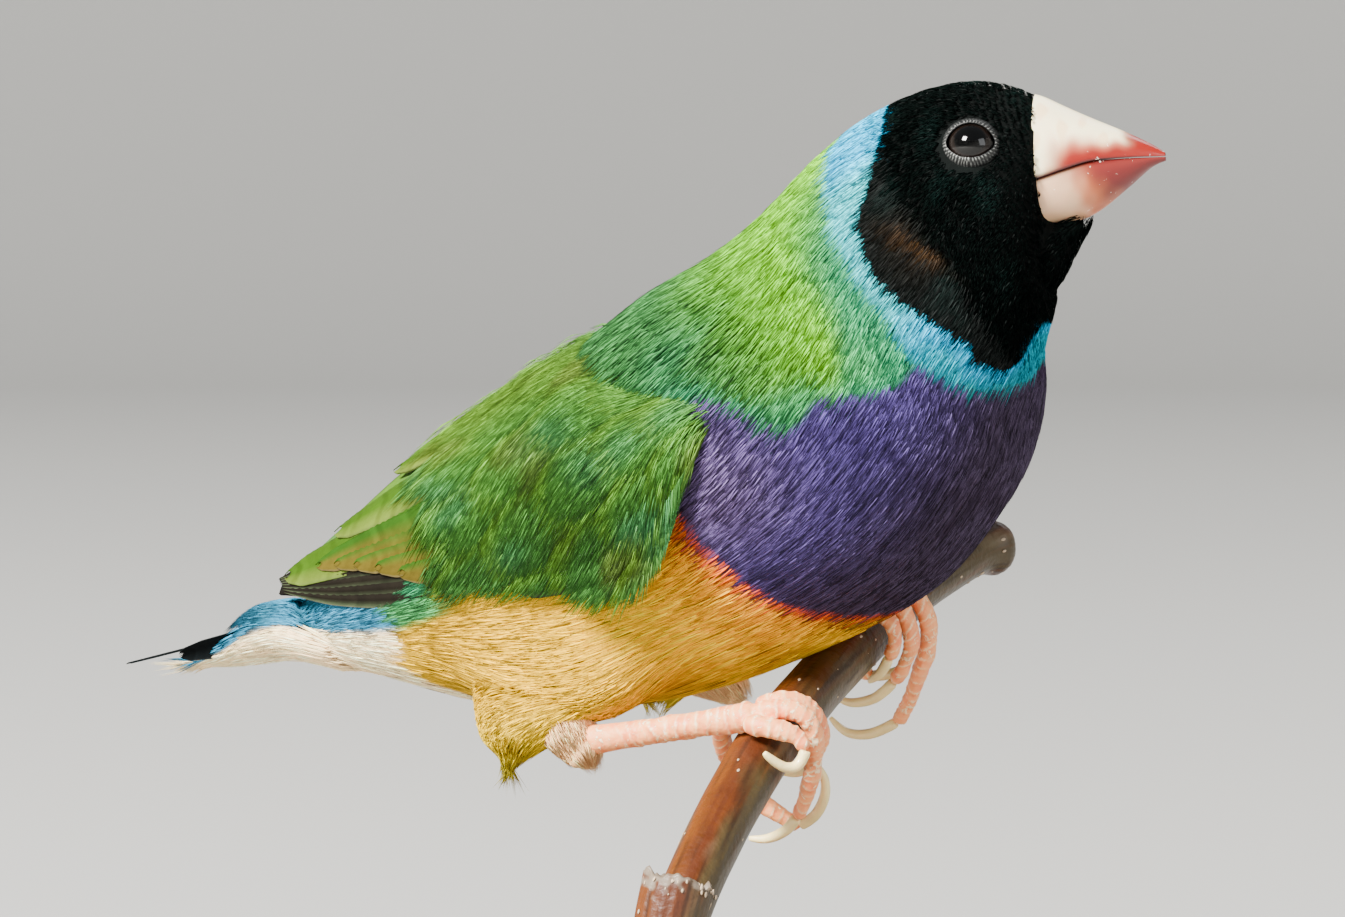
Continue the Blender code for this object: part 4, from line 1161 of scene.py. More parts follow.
SKIN = Finish("skin", roughness=0.9, specular=0.1, relief_strength=0.5)
DOWN = Finish("down", roughness=0.65, specular=0.1, grain_amount=0.5)
VELVET = Finish("velvet", roughness=0.7, specular=0.0, grain_amount=0.6)
WEB = Finish("web", roughness=0.7, specular=0.05, grain=1800.0, grain_amount=0.35)
# the horn's pale marks are partly peeling horn and partly painted highlights
HORN = Finish("horn", roughness=0.3, coat=0.25, subsurface=0.15, grain=350.0, grain_amount=0.14, relief=900.0,
              relief_strength=0.12, flakes_and_highlights=1300.0, flake_and_highlight_threshold=0.69, flake_and_highlight_colour="ffeedd")
CORNEA = Finish("cornea", roughness=0.08, coat=0.4, specular=0.2, grain_amount=0.2, relief_strength=0.0)
LID = Finish("lid", roughness=0.5, grain=2500.0, grain_amount=0.5, relief_strength=0.3)
# the leg's pale marks are partly flaky skin and partly painted highlights
LEG = Finish("leg", roughness=0.5, subsurface=0.2, grain=900.0, grain_amount=0.3, relief=1800.0,
             relief_strength=0.6, flakes_and_highlights=1100.0, flake_and_highlight_threshold=0.61, flake_and_highlight_colour="ffe0b4")
CLAW = Finish("claw", "f2dc9c", roughness=0.35, coat=0.2, subsurface=0.15, grain=700.0, grain_amount=0.35)
BARK = Finish("bark", roughness=0.45, coat=0.06, specular=0.35, grain=700.0, grain_amount=0.6, relief=1300.0,
              relief_strength=0.7)
PALE_BARK = Finish("pale_bark", roughness=0.7, grain=1400.0, grain_amount=0.6, relief_strength=0.6)
TURNED_WOOD = Finish("turned_wood", "5a3a22", roughness=0.35, coat=0.3, grain=60.0, grain_amount=0.8,
                     relief=400.0, relief_strength=0.15)
STEEL = Finish("steel", "b9bcbf", roughness=0.28, metallic=1.0, grain=900.0, grain_amount=0.1, relief=3000.0,
               relief_strength=0.08)


def dress(piece: bpy.types.Object, material: bpy.types.Material, slot: str, *nodes: str) -> None:
    """Give a piece its material and its body, and hide the solids that it stands for."""
    piece.data.materials.clear()
    piece.data.materials.append(material)
    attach(piece, "root")
    if nodes:
        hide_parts(*nodes)
    LOG.info("%s: %d faces", piece.name, len(piece.data.polygons))


def one_skin(name: str, shells: list, voxel: float, relaxing: int) -> bpy.types.Object:
    """Join closed bodies into one remeshed surface that keeps their colours.

    Args:
        name: The piece's name.
        shells: For each body its object, its sample places and their colours.
        voxel: Grid size of the remesh in millimetres.
        relaxing: Rounds of smoothing after it.

    Returns:
        The joined object.
    """
    bm = bmesh.new()
    for piece, _, _ in shells:
        bm.from_mesh(piece.data)
        bpy.data.objects.remove(piece)
    mesh = bpy.data.meshes.new(name)
    bm.to_mesh(mesh)
    bm.free()
    made = bpy.data.objects.new(name, mesh)
    bpy.context.scene.collection.objects.link(made)
    remesh = made.modifiers.new("one_surface", "REMESH")
    remesh.mode = "VOXEL"
    remesh.voxel_size = voxel * MM
    relax = made.modifiers.new("relax", "SMOOTH")
    relax.iterations = relaxing
    graph = bpy.context.evaluated_depsgraph_get()
    joined = bpy.data.meshes.new_from_object(made.evaluated_get(graph))
    made.modifiers.clear()
    made.data = joined
    joined.shade_smooth()
    for layer in list(joined.attributes):
        if layer.name == MARKING:
            joined.attributes.remove(layer)
    places = np.concatenate([where for _, where, _ in shells])
    colours = np.concatenate([shade for _, _, shade in shells])
    tree = KDTree(len(places))
    for index, place in enumerate(places):
        tree.insert(place, index)
    tree.balance()
    nearest = [tree.find(point)[1] for point in mesh_points(made)]
    paint(joined, colours[nearest])
    return made


@dataclass
class Skin:
    """One skin over head, neck, torso, thighs and tail, inside the solids by the coat's depth."""

    inset: float = 0.55
    face_inset: float = 0.18
    voxel: float = 0.78
    # painted shade: the skin takes the plumage's colours, darkened by this factor, as the shade under the coat
    under_coat_shade: float = 0.6
    rings: int = 70
    sides: int = 48

    def depth(self, surface: Surface, u: Array) -> Array:
        """How deep the skin lies: less under the short feathers of the face."""
        face = 1 - smooth(2.4, 3.4, u) if surface in (BODY, CHIN) else np.zeros(u.shape)
        return self.inset + (self.face_inset - self.inset) * face

    def shell(self, surface: Surface, colour: Callable) -> tuple[bpy.types.Object, Array, Array]:
        """A closed body just inside a surface, with that surface's sample places and colours."""
        u, v = np.meshgrid(np.linspace(0, surface.u_end, self.rings),
                           np.linspace(-180, 180, self.sides, endpoint=False), indexing="ij")
        at = surface.frames(u.ravel(), v.ravel())
        inside = at.point - at.normal * self.depth(surface, u.ravel())[:, None]
        grid = inside.reshape(self.rings, self.sides, 3)
        # painted shade: the sample colours are darkened for the skin under the coat
        return loft_piece("skin", grid), at.point, colour(u.ravel(), v.ravel()) * self.under_coat_shade

    def build(self, shading: Shading) -> bpy.types.Object:
        """Join the shells, make one surface of them and paint it."""
        sources = [(BODY, PLUMAGE.body), (CHIN, PLUMAGE.chin), (TAIL, PLUMAGE.tail)]
        sources += [(thigh, PLUMAGE.thigh(thigh)) for thigh in map(ThighForm, Side)]
        skin = one_skin("skin", [self.shell(*source) for source in sources], self.voxel, 6)
        dress(skin, SKIN.make(shading), "breast_purple", "head", "neck", "torso", "thigh_right", "thigh_left")
        return skin


@dataclass
class BodyCoat:
    """The small feathers of head, neck, breast, back, belly and thighs."""

    draw: np.random.Generator = field(default_factory=lambda: np.random.default_rng(SEED))
    velvet: Tuft = Tuft(8, 1.3, 0.45, 0.13, 0.35, 0.08, 10.0, 9.0, 0.2, 0.5, 0.15, 0.6, 0.0, 0.03)
    nape: Tuft = Tuft(10, 3.4, 0.8, 0.15, 0.6, 0.1, 4.0, 3.0, 0.08, 0.28, 0.2, 0.5, 0.04, 0.06)
    mantle: Tuft = Tuft(12, 5.0, 1.0, 0.17, 0.7, 0.15, 4.0, 3.5, 0.10, 0.28, 0.25, 0.5, 0.06, 0.05)
    breast: Tuft = Tuft(14, 7.5, 1.0, 0.13, 0.7, 0.06, 0.6, 0.8, 0.03, 0.14, 0.12, 0.5, 0.12, 0.03)
    belly: Tuft = Tuft(10, 7.0, 1.1, 0.19, 0.7, 0.1, 3.0, 2.5, 0.05, 0.14, 0.25, 0.7, 0.01, 0.06)
    vent: Tuft = Tuft(10, 5.0, 1.2, 0.26, 0.6, 0.12, 5.0, 3.0, 0.03, 0.07, 0.2, 0.85, 0.0, 0.05)
    thigh: Tuft = Tuft(10, 5.4, 1.0, 0.19, 0.7, 0.1, 3.0, 4.0, 0.05, 0.12, 0.3, 0.7, 0.01, 0.06)
    wing_line: tuple = ([5.1, 5.5, 6.0, 7.0, 7.8, 8.2, 8.3], [62, 76, 84, 76, 58, 40, 0])
    back_strip: float = 26.0

    def under_wing(self, u: Array, v: Array) -> Array:
        """Whether places on the body are hidden by a folded wing."""
        t = np.abs(v)
        return (u > self.wing_line[0][0]) & (t < np.interp(u, *self.wing_line)) & (t > self.back_strip)

    def places(self, count: int, u_range: tuple, v_range: tuple) -> tuple[Array, Array]:
        """Even places on the body that no wing hides."""
        u, v = BODY.spread(count, u_range, v_range, self.draw)
        seen = ~self.under_wing(u, v)
        return u[seen], v[seen]

    def clear_of_face(self, root: Array, middle: Array, tip: Array) -> Array:
        """Whether a barb leaves the eyes free."""
        return EYES.is_clear(root, EYES.clear) & EYES.is_clear(middle, 2.7) & EYES.is_clear(tip, 2.6)

    def build(self, shading: Shading) -> list[bpy.types.Object]:
        """Make the pieces of the coat.

        Args:
            shading: The shared node groups.

        Returns:
            The pieces.
        """
        down, velvet = DOWN.make(shading), VELVET.make(shading)
        made = []

        def piece(name: str, slot: str, material: bpy.types.Material, beds: list) -> None:
            """Grow one piece over its beds: each a surface with places, tuft, colour and size."""
            coat = Coat(name)
            for surface, places, tuft, colour, size in beds:
                coat.grow(surface, places, tuft, colour, self.draw, self.clear_of_face, size)
            built = coat.build()
            dress(built, material, slot)
            made.append(built)

        def face_size(u: Array, v: Array) -> Array:
            """Feathers get smaller toward the bill."""
            return 0.5 + 0.5 * smooth(0.2, 1.6, u) + 0.25 * smooth(1.8, 3.0, u)

        def body_size(u: Array, v: Array) -> Array:
            """Feathers get smaller toward the neck."""
            return 0.8 + 0.2 * smooth(3.0, 4.5, u)

        chin_places = CHIN.spread(420, (0, 4), (-180, 180), self.draw)
        piece("coat_head", "mask_black", velvet, [
            (BODY, self.places(3500, (0.02, 3.15), (-180, 180)), self.velvet, PLUMAGE.body, face_size),
            (CHIN, chin_places, self.velvet, PLUMAGE.chin, None)])
        piece("coat_nape", "nape_green", down, [
            (BODY, self.places(3100, (2.15, 3.9), (-180, 180)), self.nape, PLUMAGE.body, None)])
        piece("coat_mantle", "nape_green", down, [
            (BODY, self.places(2700, (3.4, 8.4), (-102, 102)), self.mantle, PLUMAGE.body, body_size)])
        piece("coat_breast_right", "breast_purple", down, [
            (BODY, self.places(1550, (3.2, 5.9), (-181, -72)), self.breast, PLUMAGE.body, body_size)])
        piece("coat_breast_left", "breast_purple", down, [
            (BODY, self.places(1550, (3.2, 5.9), (72, 181)), self.breast, PLUMAGE.body, body_size)])
        piece("coat_belly_right", "belly_gold", down, [
            (DRAPED, self.places(2100, (5.4, 8.6), (-181, -60)), self.belly, PLUMAGE.body, None)])
        piece("coat_belly_left", "belly_gold", down, [
            (DRAPED, self.places(2100, (5.4, 8.6), (60, 181)), self.belly, PLUMAGE.body, None)])
        beds = [(BODY, self.places(700, (7.9, 9.0), (-180, 180)), self.vent, PLUMAGE.body, None)]
        for side in Side:
            thigh = ThighForm(side)
            places = thigh.spread(600, (1.0, thigh.u_end - 2.0), (-180, 180), self.draw)
            beds.append((thigh, places, self.thigh, PLUMAGE.thigh(thigh), None))
        piece("coat_thighs", "belly_gold", down, beds)
        return made


@dataclass(frozen=True)
class FlightGroup:
    """A row of flight feathers on a wing, given as (along, across) shares of its sheet.

    Args:
        count: How many feathers.
        first_root: Root of the first.
        last_root: Root of the last.
        first_tip: Tip of the first.
        last_tip: Tip of the last.
        half_width: Half of a feather's width.
        root_lift: Height of the roots over the sheet.
        tip_lift: Height of the tips.
        web: Colour of the web by share along and signed share across.
    """

    count: int
    first_root: tuple[float, float]
    last_root: tuple[float, float]
    first_tip: tuple[float, float]
    last_tip: tuple[float, float]
    half_width: float
    root_lift: float
    tip_lift: float
    web: Callable


@dataclass
class Vanes:
    """Large feathers as thin closed webs with a ridge for each barb and a raised shaft."""

    name: str
    draw: np.random.Generator
    barbs: int = 40
    columns: tuple = (-1.0, -0.82, -0.5, -0.16, 0.0, 0.16, 0.5, 0.82, 1.0)
    thickness: float = 0.09
    ridge: float = 0.035
    barb_slant: float = 0.55
    points: list = field(default_factory=list)
    faces: list = field(default_factory=list)
    colours: list = field(default_factory=list)
    total: int = 0

    def add(self, line: Callable, half_width: float, web: Callable, profile: tuple, roll: float = 0.0,
            camber: float = 0.25) -> None:
        """Add one feather.

        Args:
            line: Point and outward direction of the shaft from shares along it.
            half_width: Half of the greatest width.
            web: Colour by share along and signed share across.
            profile: Width shares at shares along.
            roll: Degrees that it is rolled about its shaft.
            camber: How far its edges sink, as a share of the half width.
        """
        rows = self.barbs * 2 + 1
        t = np.linspace(0, 1, rows)
        columns = np.array(self.columns)
        start, end = line(np.array([0.0]))[0][0], line(np.array([1.0]))[0][0]
        length = np.linalg.norm(end - start)
        slant = self.barb_slant * half_width / length
        share = np.clip(t[:, None] * (1 - slant) + np.abs(columns)[None] * slant, 0, 1)
        width = half_width * np.interp(share, *profile)
        point, outward = line(share.ravel())
        ahead, _ = line(np.clip(share.ravel() + 0.01, 0, 1))
        behind, _ = line(np.clip(share.ravel() - 0.01, 0, 1))
        forward = unit(ahead - behind)
        side = unit(np.cross(forward, outward))
        outward = np.cross(side, forward)
        tilt = math.radians(roll)
        side, outward = (side * math.cos(tilt) + outward * math.sin(tilt),
                         outward * math.cos(tilt) - side * math.sin(tilt))
        across = (columns[None] * width).ravel()[:, None]
        sag = (-(columns[None] ** 2) * width * camber).ravel()[:, None]
        comb = (np.where(np.arange(rows) % 2 == 0, 0.0, self.ridge)[:, None]
                * np.minimum(np.abs(columns)[None] * 4, 1)).ravel()[:, None]
        shaft = np.where(np.abs(columns) < 0.01, 0.07, 0.0)[None].repeat(rows, 0).ravel()[:, None]
        top = point + side * across + outward * (sag + comb + shaft)
        under = point + side * across + outward * (sag - self.thickness)
        rows_of = np.repeat(self.draw.normal(1, 0.10, self.barbs + 1), 2)[:rows]
        tint = web(share.ravel(), np.tile(columns, rows)) * np.repeat(rows_of, len(columns))[:, None]
        count = rows * len(columns)
        quads = grid_faces(rows, len(columns), False)
        rim = np.concatenate([np.arange(len(columns)), np.arange(1, rows) * len(columns) + len(columns) - 1,
                              (rows - 1) * len(columns) + np.arange(len(columns) - 2, -1, -1),
                              np.arange(rows - 2, 0, -1) * len(columns)])
        after = np.roll(rim, -1)
        band = np.stack([after, rim, rim + count, after + count], -1)
        faces = np.concatenate([quads[:, ::-1], quads + count, band])
        self.points.append(np.concatenate([top, under]))
        self.colours.append(np.concatenate([tint, tint * 0.7]))
        self.faces.append(faces + self.total)
        self.total += 2 * count

    def build(self) -> bpy.types.Object:
        """Make the piece."""
        return make_object(self.name, np.concatenate(self.points), np.concatenate(self.faces),
                           np.concatenate(self.colours))


def tertial_web(t: Array, across: Array) -> Array:
    """Yellow-green webs that turn olive, with a thin pale edge."""
    base = mix(Hue.tertial, Hue.tertial_tip, smooth(0.3, 0.9, t))
    base = mix(base, Hue.wing_olive, smooth(0.1, 0.8, across) * 0.5)
    return mix(base, Hue.quill_pale, smooth(0.9, 1.0, np.abs(across)) * 0.35)


def secondary_web(t: Array, across: Array) -> Array:
    """Olive to buff webs with a pale lower edge."""
    base = mix(Hue.tertial, Hue.wing_buff, smooth(0.45, 0.85, t) * smooth(-0.6, 0.3, across))
    return mix(base, Hue.quill_edge, smooth(0.8, 1.0, across) * 0.7)


def primary_web(t: Array, across: Array) -> Array:
    """Dark brown webs with pale grey-green outer edges."""
    base = mix(Hue.quill_dark, Hue.quill_pale, smooth(0.45, 0.6, across))
    return mix(base, Hue.quill_edge, smooth(0.85, 1.0, across) * 0.6)


def rectrix_web(t: Array, across: Array) -> Array:
    """Black webs."""
    return np.tile(Hue.black, (len(t), 1)) * (0.8 + 0.4 * np.abs(across))[:, None]


BLUNT = ((0.0, 0.3, 0.75, 0.92, 0.98, 1.0), (0.45, 1.0, 0.95, 0.66, 0.34, 0.04))
TAPERED = ((0.0, 0.25, 0.6, 0.85, 1.0), (0.5, 1.0, 0.9, 0.55, 0.04))
FLIGHT_GROUPS = (
    FlightGroup(7, (0.24, 1.0), (0.40, 0.80), (0.97, 0.95), (0.99, 0.45), 1.25, -0.6, 0.0, primary_web),
    FlightGroup(6, (0.24, 0.92), (0.30, 0.60), (0.64, 0.90), (0.87, 0.60), 2.1, -0.6, 0.25, secondary_web),
    FlightGroup(3, (0.34, 0.62), (0.30, 0.14), (0.96, 0.52), (0.68, 0.06), 2.9, -0.5, 0.5, tertial_web),
)


@dataclass
class Wing:
    """A folded wing: its body, its flight feathers and the small feathers over them."""

    side: Side
    cover: Tuft = Tuft(14, 6.0, 1.4, 0.14, 0.35, 0.4, 2.0, 2.0, 0.04, 0.11, 0.12, 0.6, 0.02, 0.03)
    small: Tuft = Tuft(12, 5.0, 1.1, 0.14, 0.4, 0.42, 2.0, 3.0, 0.06, 0.2, 0.2, 0.5, 0.05, 0.05)
    rings: int = 60
    across: int = 24

    def base(self, form: WingForm) -> bpy.types.Object:
        """The wing's body under its feathers."""
        u, v = np.meshgrid(np.linspace(0, 1, self.rings), np.linspace(0, 1, self.across), indexing="ij")
        at = form.frames(u.ravel(), v.ravel())
        depth = spline(form.sections[:, 7:8], u.ravel() * (len(form.sections) - 1))
        outer = (at.point - at.normal * 0.45).reshape(self.rings, self.across, 3)
        inner = (at.point - at.normal * depth).reshape(self.rings, self.across, 3)[:, ::-1]
        grid = np.concatenate([outer, inner], axis=1)
        grid[..., 1] = self.side.value * np.maximum(self.side.value * grid[..., 1], 0.15)
        # painted shade: the wing's body is darkened to half its plumage colour, and to dark quill brown where
        # the flight feathers cover it
        hidden = smooth(0.5, 0.7, u.ravel()) * smooth(0.35, 0.6, v.ravel())
        tint = mix(PLUMAGE.wing(form)(u.ravel(), v.ravel()) * 0.5, Hue.quill_dark * 0.6, hidden)
        tint = tint.reshape(self.rings, self.across, 3)
        return loft_piece("wing_base_" + self.side.label, grid, np.concatenate([tint, tint[:, ::-1]], axis=1))

    def line(self, form: WingForm, root: Array, tip: Array, root_lift: float, tip_lift: float) -> Callable:
        """A shaft over the sheet from root to tip."""
        def shaft(share: Array) -> tuple[Array, Array]:
            """Points along the shaft and the way its face looks there."""
            place = root[None] + (tip - root)[None] * share[:, None]
            at = form.frames(place[:, 0], place[:, 1])
            lift = root_lift + (tip_lift - root_lift) * share**2
            return at.point + at.normal * lift[:, None], at.normal
        return shaft

    def flight(self, form: WingForm, draw: np.random.Generator) -> bpy.types.Object:
        """The flight feathers."""
        vanes = Vanes("flight_feathers_" + self.side.label, draw)
        for group in FLIGHT_GROUPS:
            for index in range(group.count):
                share = index / (group.count - 1)
                root = np.array(group.first_root) * (1 - share) + np.array(group.last_root) * share
                tip = np.array(group.first_tip) * (1 - share) + np.array(group.last_tip) * share
                lift = 0.05 * index
                line = self.line(form, root, tip, group.root_lift + lift, group.tip_lift + lift)
                web = group.web if self.side is Side.LEFT else self.mirrored(group.web)
                vanes.add(line, group.half_width * draw.uniform(0.95, 1.05), web,
                          TAPERED if group.web is primary_web else BLUNT)
        return vanes.build()

    @staticmethod
    def mirrored(web: Callable) -> Callable:
        """A web with its two sides swapped."""
        return lambda t, across: web(t, -across)

    def build(self, shading: Shading) -> list[bpy.types.Object]:
        """Make the wing's pieces.

        Args:
            shading: The shared node groups.

        Returns:
            The pieces.
        """
        draw = np.random.default_rng(SEED + 5 + self.side.value)
        form = WingForm(self.side)
        base = self.base(form)
        dress(base, SKIN.make(shading), "wing_green", "wing_" + self.side.label)
        flight = self.flight(form, draw)
        dress(flight, WEB.make(shading), "wing_green")
        coat = Coat("coat_wing_" + self.side.label)
        rear = form.spread(1300, (0.16, 0.60), (0.0, 1.0), draw)
        edge = 0.55 + 0.035 * np.cos(rear[1] * math.tau / 0.26) - 0.36 * smooth(0.82, 1.0, rear[1])
        kept = rear[0] < edge
        coat.grow(form, (rear[0][kept], rear[1][kept]), self.cover, PLUMAGE.wing(form), draw)
        coat.grow(form, form.spread(900, (0.0, 0.30), (0.0, 1.0), draw), self.small, PLUMAGE.wing(form), draw)
        small = coat.build()
        dress(small, DOWN.make(shading), "wing_green")
        return [base, flight, small]


@dataclass
class TailDress:
    """The tail: its coverts above and below, and the black tail feathers."""

    feathers: int = 12
    root: tuple = (-42.0, 1.4, 50.9)
    tip: tuple = (-54.0, 4.0, 47.9)
    drop: float = 0.5
    shorter: float = 1.4
    pin_tip: tuple = (-60.2, 0.5, 46.2)
    above: Tuft = Tuft(10, 4.2, 1.0, 0.16, 0.4, 0.2, 3.0, 3.0, 0.06, 0.2, 0.2, 0.5, 0.04, 0.05)
    below: Tuft = Tuft(10, 5.5, 1.2, 0.26, 0.4, 0.2, 4.0, 2.0, 0.03, 0.06, 0.2, 0.85, 0.0, 0.05)
    above_end: float = 0.75
    roof: float = 58.0

    def build(self, shading: Shading) -> list[bpy.types.Object]:
        """Make the tail's pieces.

        Args:
            shading: The shared node groups.

        Returns:
            The pieces.
        """
        draw = np.random.default_rng(SEED + 9)
        vanes = Vanes("tail_feathers", draw, barbs=28)
        middle = (self.feathers - 1) / 2
        for index in range(self.feathers):
            rank = (index - middle) / middle
            outer = abs(rank)
            pin = abs(index - middle) < 1
            root = np.array([self.root[0], self.root[1] * rank, self.root[2] - self.drop * outer])
            tip = np.array([self.tip[0] + self.shorter * outer, self.tip[1] * rank,
                            self.tip[2] - self.drop * outer])
            if pin:
                tip = np.array([self.pin_tip[0], math.copysign(self.pin_tip[1], rank), self.pin_tip[2]])
            vanes.add(self.straight(root, tip), 0.3 if pin else 1.25, rectrix_web,
                      TAPERED if pin else BLUNT, self.roof * rank)
        feathers = vanes.build()
        dress(feathers, WEB.make(shading), "tail_blue", "tail")
        coat = Coat("coat_tail")
        u, v = TAIL.spread(900, (0.0, 3.6), (-180, 180), draw)
        top = np.abs(v) < np.interp(u, *PLUMAGE.tail_edge) + 4
        over = top & (u < self.above_end + draw.normal(0, 0.15, len(u)))
        coat.grow(TAIL, (u[over], v[over]), self.above, PLUMAGE.tail, draw)
        coat.grow(TAIL, TAIL.spread(350, (0.0, 0.8), (-80, 80), draw), self.above, PLUMAGE.tail, draw)
        coat.grow(TAIL, (u[~top], v[~top]), self.below, PLUMAGE.tail, draw)
        cover = coat.build()
        dress(cover, DOWN.make(shading), "tail_blue")
        return [feathers, cover]

    @staticmethod
    def straight(root: Array, tip: Array) -> Callable:
        """A shaft from root to tip with its face up."""
        def shaft(share: Array) -> tuple[Array, Array]:
            """Points along the shaft and the way its face looks there."""
            point = root[None] + (tip - root)[None] * share[:, None]
            return point, np.broadcast_to(np.array([0.0, 0.0, 1.0]), point.shape)
        return shaft


@dataclass
class Bill:
    """The two mandibles, finer than the solids, with the line of the mouth between them."""

    sections: tuple = (
        (38.4, 104.1, 96.0, 91.0, 5.0), (39.4, 103.8, 96.3, 91.3, 4.8), (41.4, 102.9, 97.0, 91.8, 4.35),
        (44.0, 101.8, 97.8, 93.0, 3.45), (47.0, 100.6, 98.1, 95.2, 2.2), (49.4, 99.5, 98.2, 97.1, 1.1),
        (50.9, 98.6, 98.25, 97.8, 0.3))
    lean: float = 0.08
    lean_z: float = 97.4
    lower_share: float = 0.94
    gap: float = 0.08
    rings: int = 120
    sides: int = 56
    ivory = srgb("fff0c4")
    ivory_warm = srgb("f8dcac")
    coral = srgb("821a12")
    coral_soft = srgb("b04a36")
    red = srgb("6c0806")
    orange = srgb("bc6030")
    base_pink = srgb("dcb08a")

    def half(self, upper: bool) -> tuple[Array, Array]:
        """The grid of points of one mandible and its colours.

        Args:
            upper: Whether it is the upper mandible.

        Returns:
            The grid and a linear colour for each of its points.
        """
        x, top, gape, bottom, half_width = np.moveaxis(
            spline(np.array(self.sections), np.linspace(0, len(self.sections) - 1, self.rings)), -1, 0)
        arch = np.linspace(0, math.pi, self.sides)
        edge = gape if upper else gape - self.gap
        reach = (top if upper else bottom) - edge
        width = half_width if upper else half_width * self.lower_share
        rise = np.sin(arch)[None]
        keel = 1 + 0.03 * np.exp(-(((arch - math.pi / 2) / 0.18) ** 2))[None]
        up = edge[:, None] + reach[:, None] * rise * keel
        forward = x[:, None] - self.lean * (up - self.lean_z)
        grid = np.stack([forward, width[:, None] * np.cos(arch)[None] * np.ones_like(up), up], -1)
        flat = grid.reshape(-1, 3)
        share = np.repeat((x - x[0]) / (x[-1] - x[0]), self.sides)
        height = np.tile(np.sin(arch), self.rings)
        grain = ripple(flat, 1.6, 31)
        if upper:
            shade = mix(self.ivory, self.ivory_warm, smooth(0.2, 0.8, grain))
            low = 1 - smooth(0.25, 0.62, height + grain * 0.07 - share * 0.15)
            shade = mix(shade, self.coral_soft, low * smooth(0.05, 0.3, share) * 0.9)
            low = 1 - smooth(0.08, 0.42, height + grain * 0.06 - share * 0.12)
            shade = mix(shade, self.coral, low * smooth(0.02, 0.3, share))
            shade = mix(shade, self.coral, smooth(0.6, 0.8, share + grain * 0.03))
        else:
            shade = mix(self.base_pink, self.orange, smooth(0.22, 0.45, share + grain * 0.04))
            shade = mix(shade, self.red, smooth(0.22, 0.5, share - height * 0.2 + grain * 0.04))
            shade = mix(shade, self.coral, (1 - smooth(0.1, 0.4, height)) * smooth(0.1, 0.4, share) * 0.6)
        shade = mix(shade, self.red * 0.5, 1 - smooth(0.0, 0.09, height))
        return BODY.turned(flat).reshape(grid.shape), shade.reshape(grid.shape)

    def build(self, shading: Shading) -> list[bpy.types.Object]:
        """Make both mandibles."""
        horn = HORN.make(shading)
        upper = loft_piece("bill_upper_horn", *self.half(True))
        dress(upper, horn, "bill_ivory", "bill_upper")
        lower = loft_piece("bill_lower_horn", *self.half(False))
        dress(lower, horn, "bill_coral", "bill_lower")
        return [upper, lower]


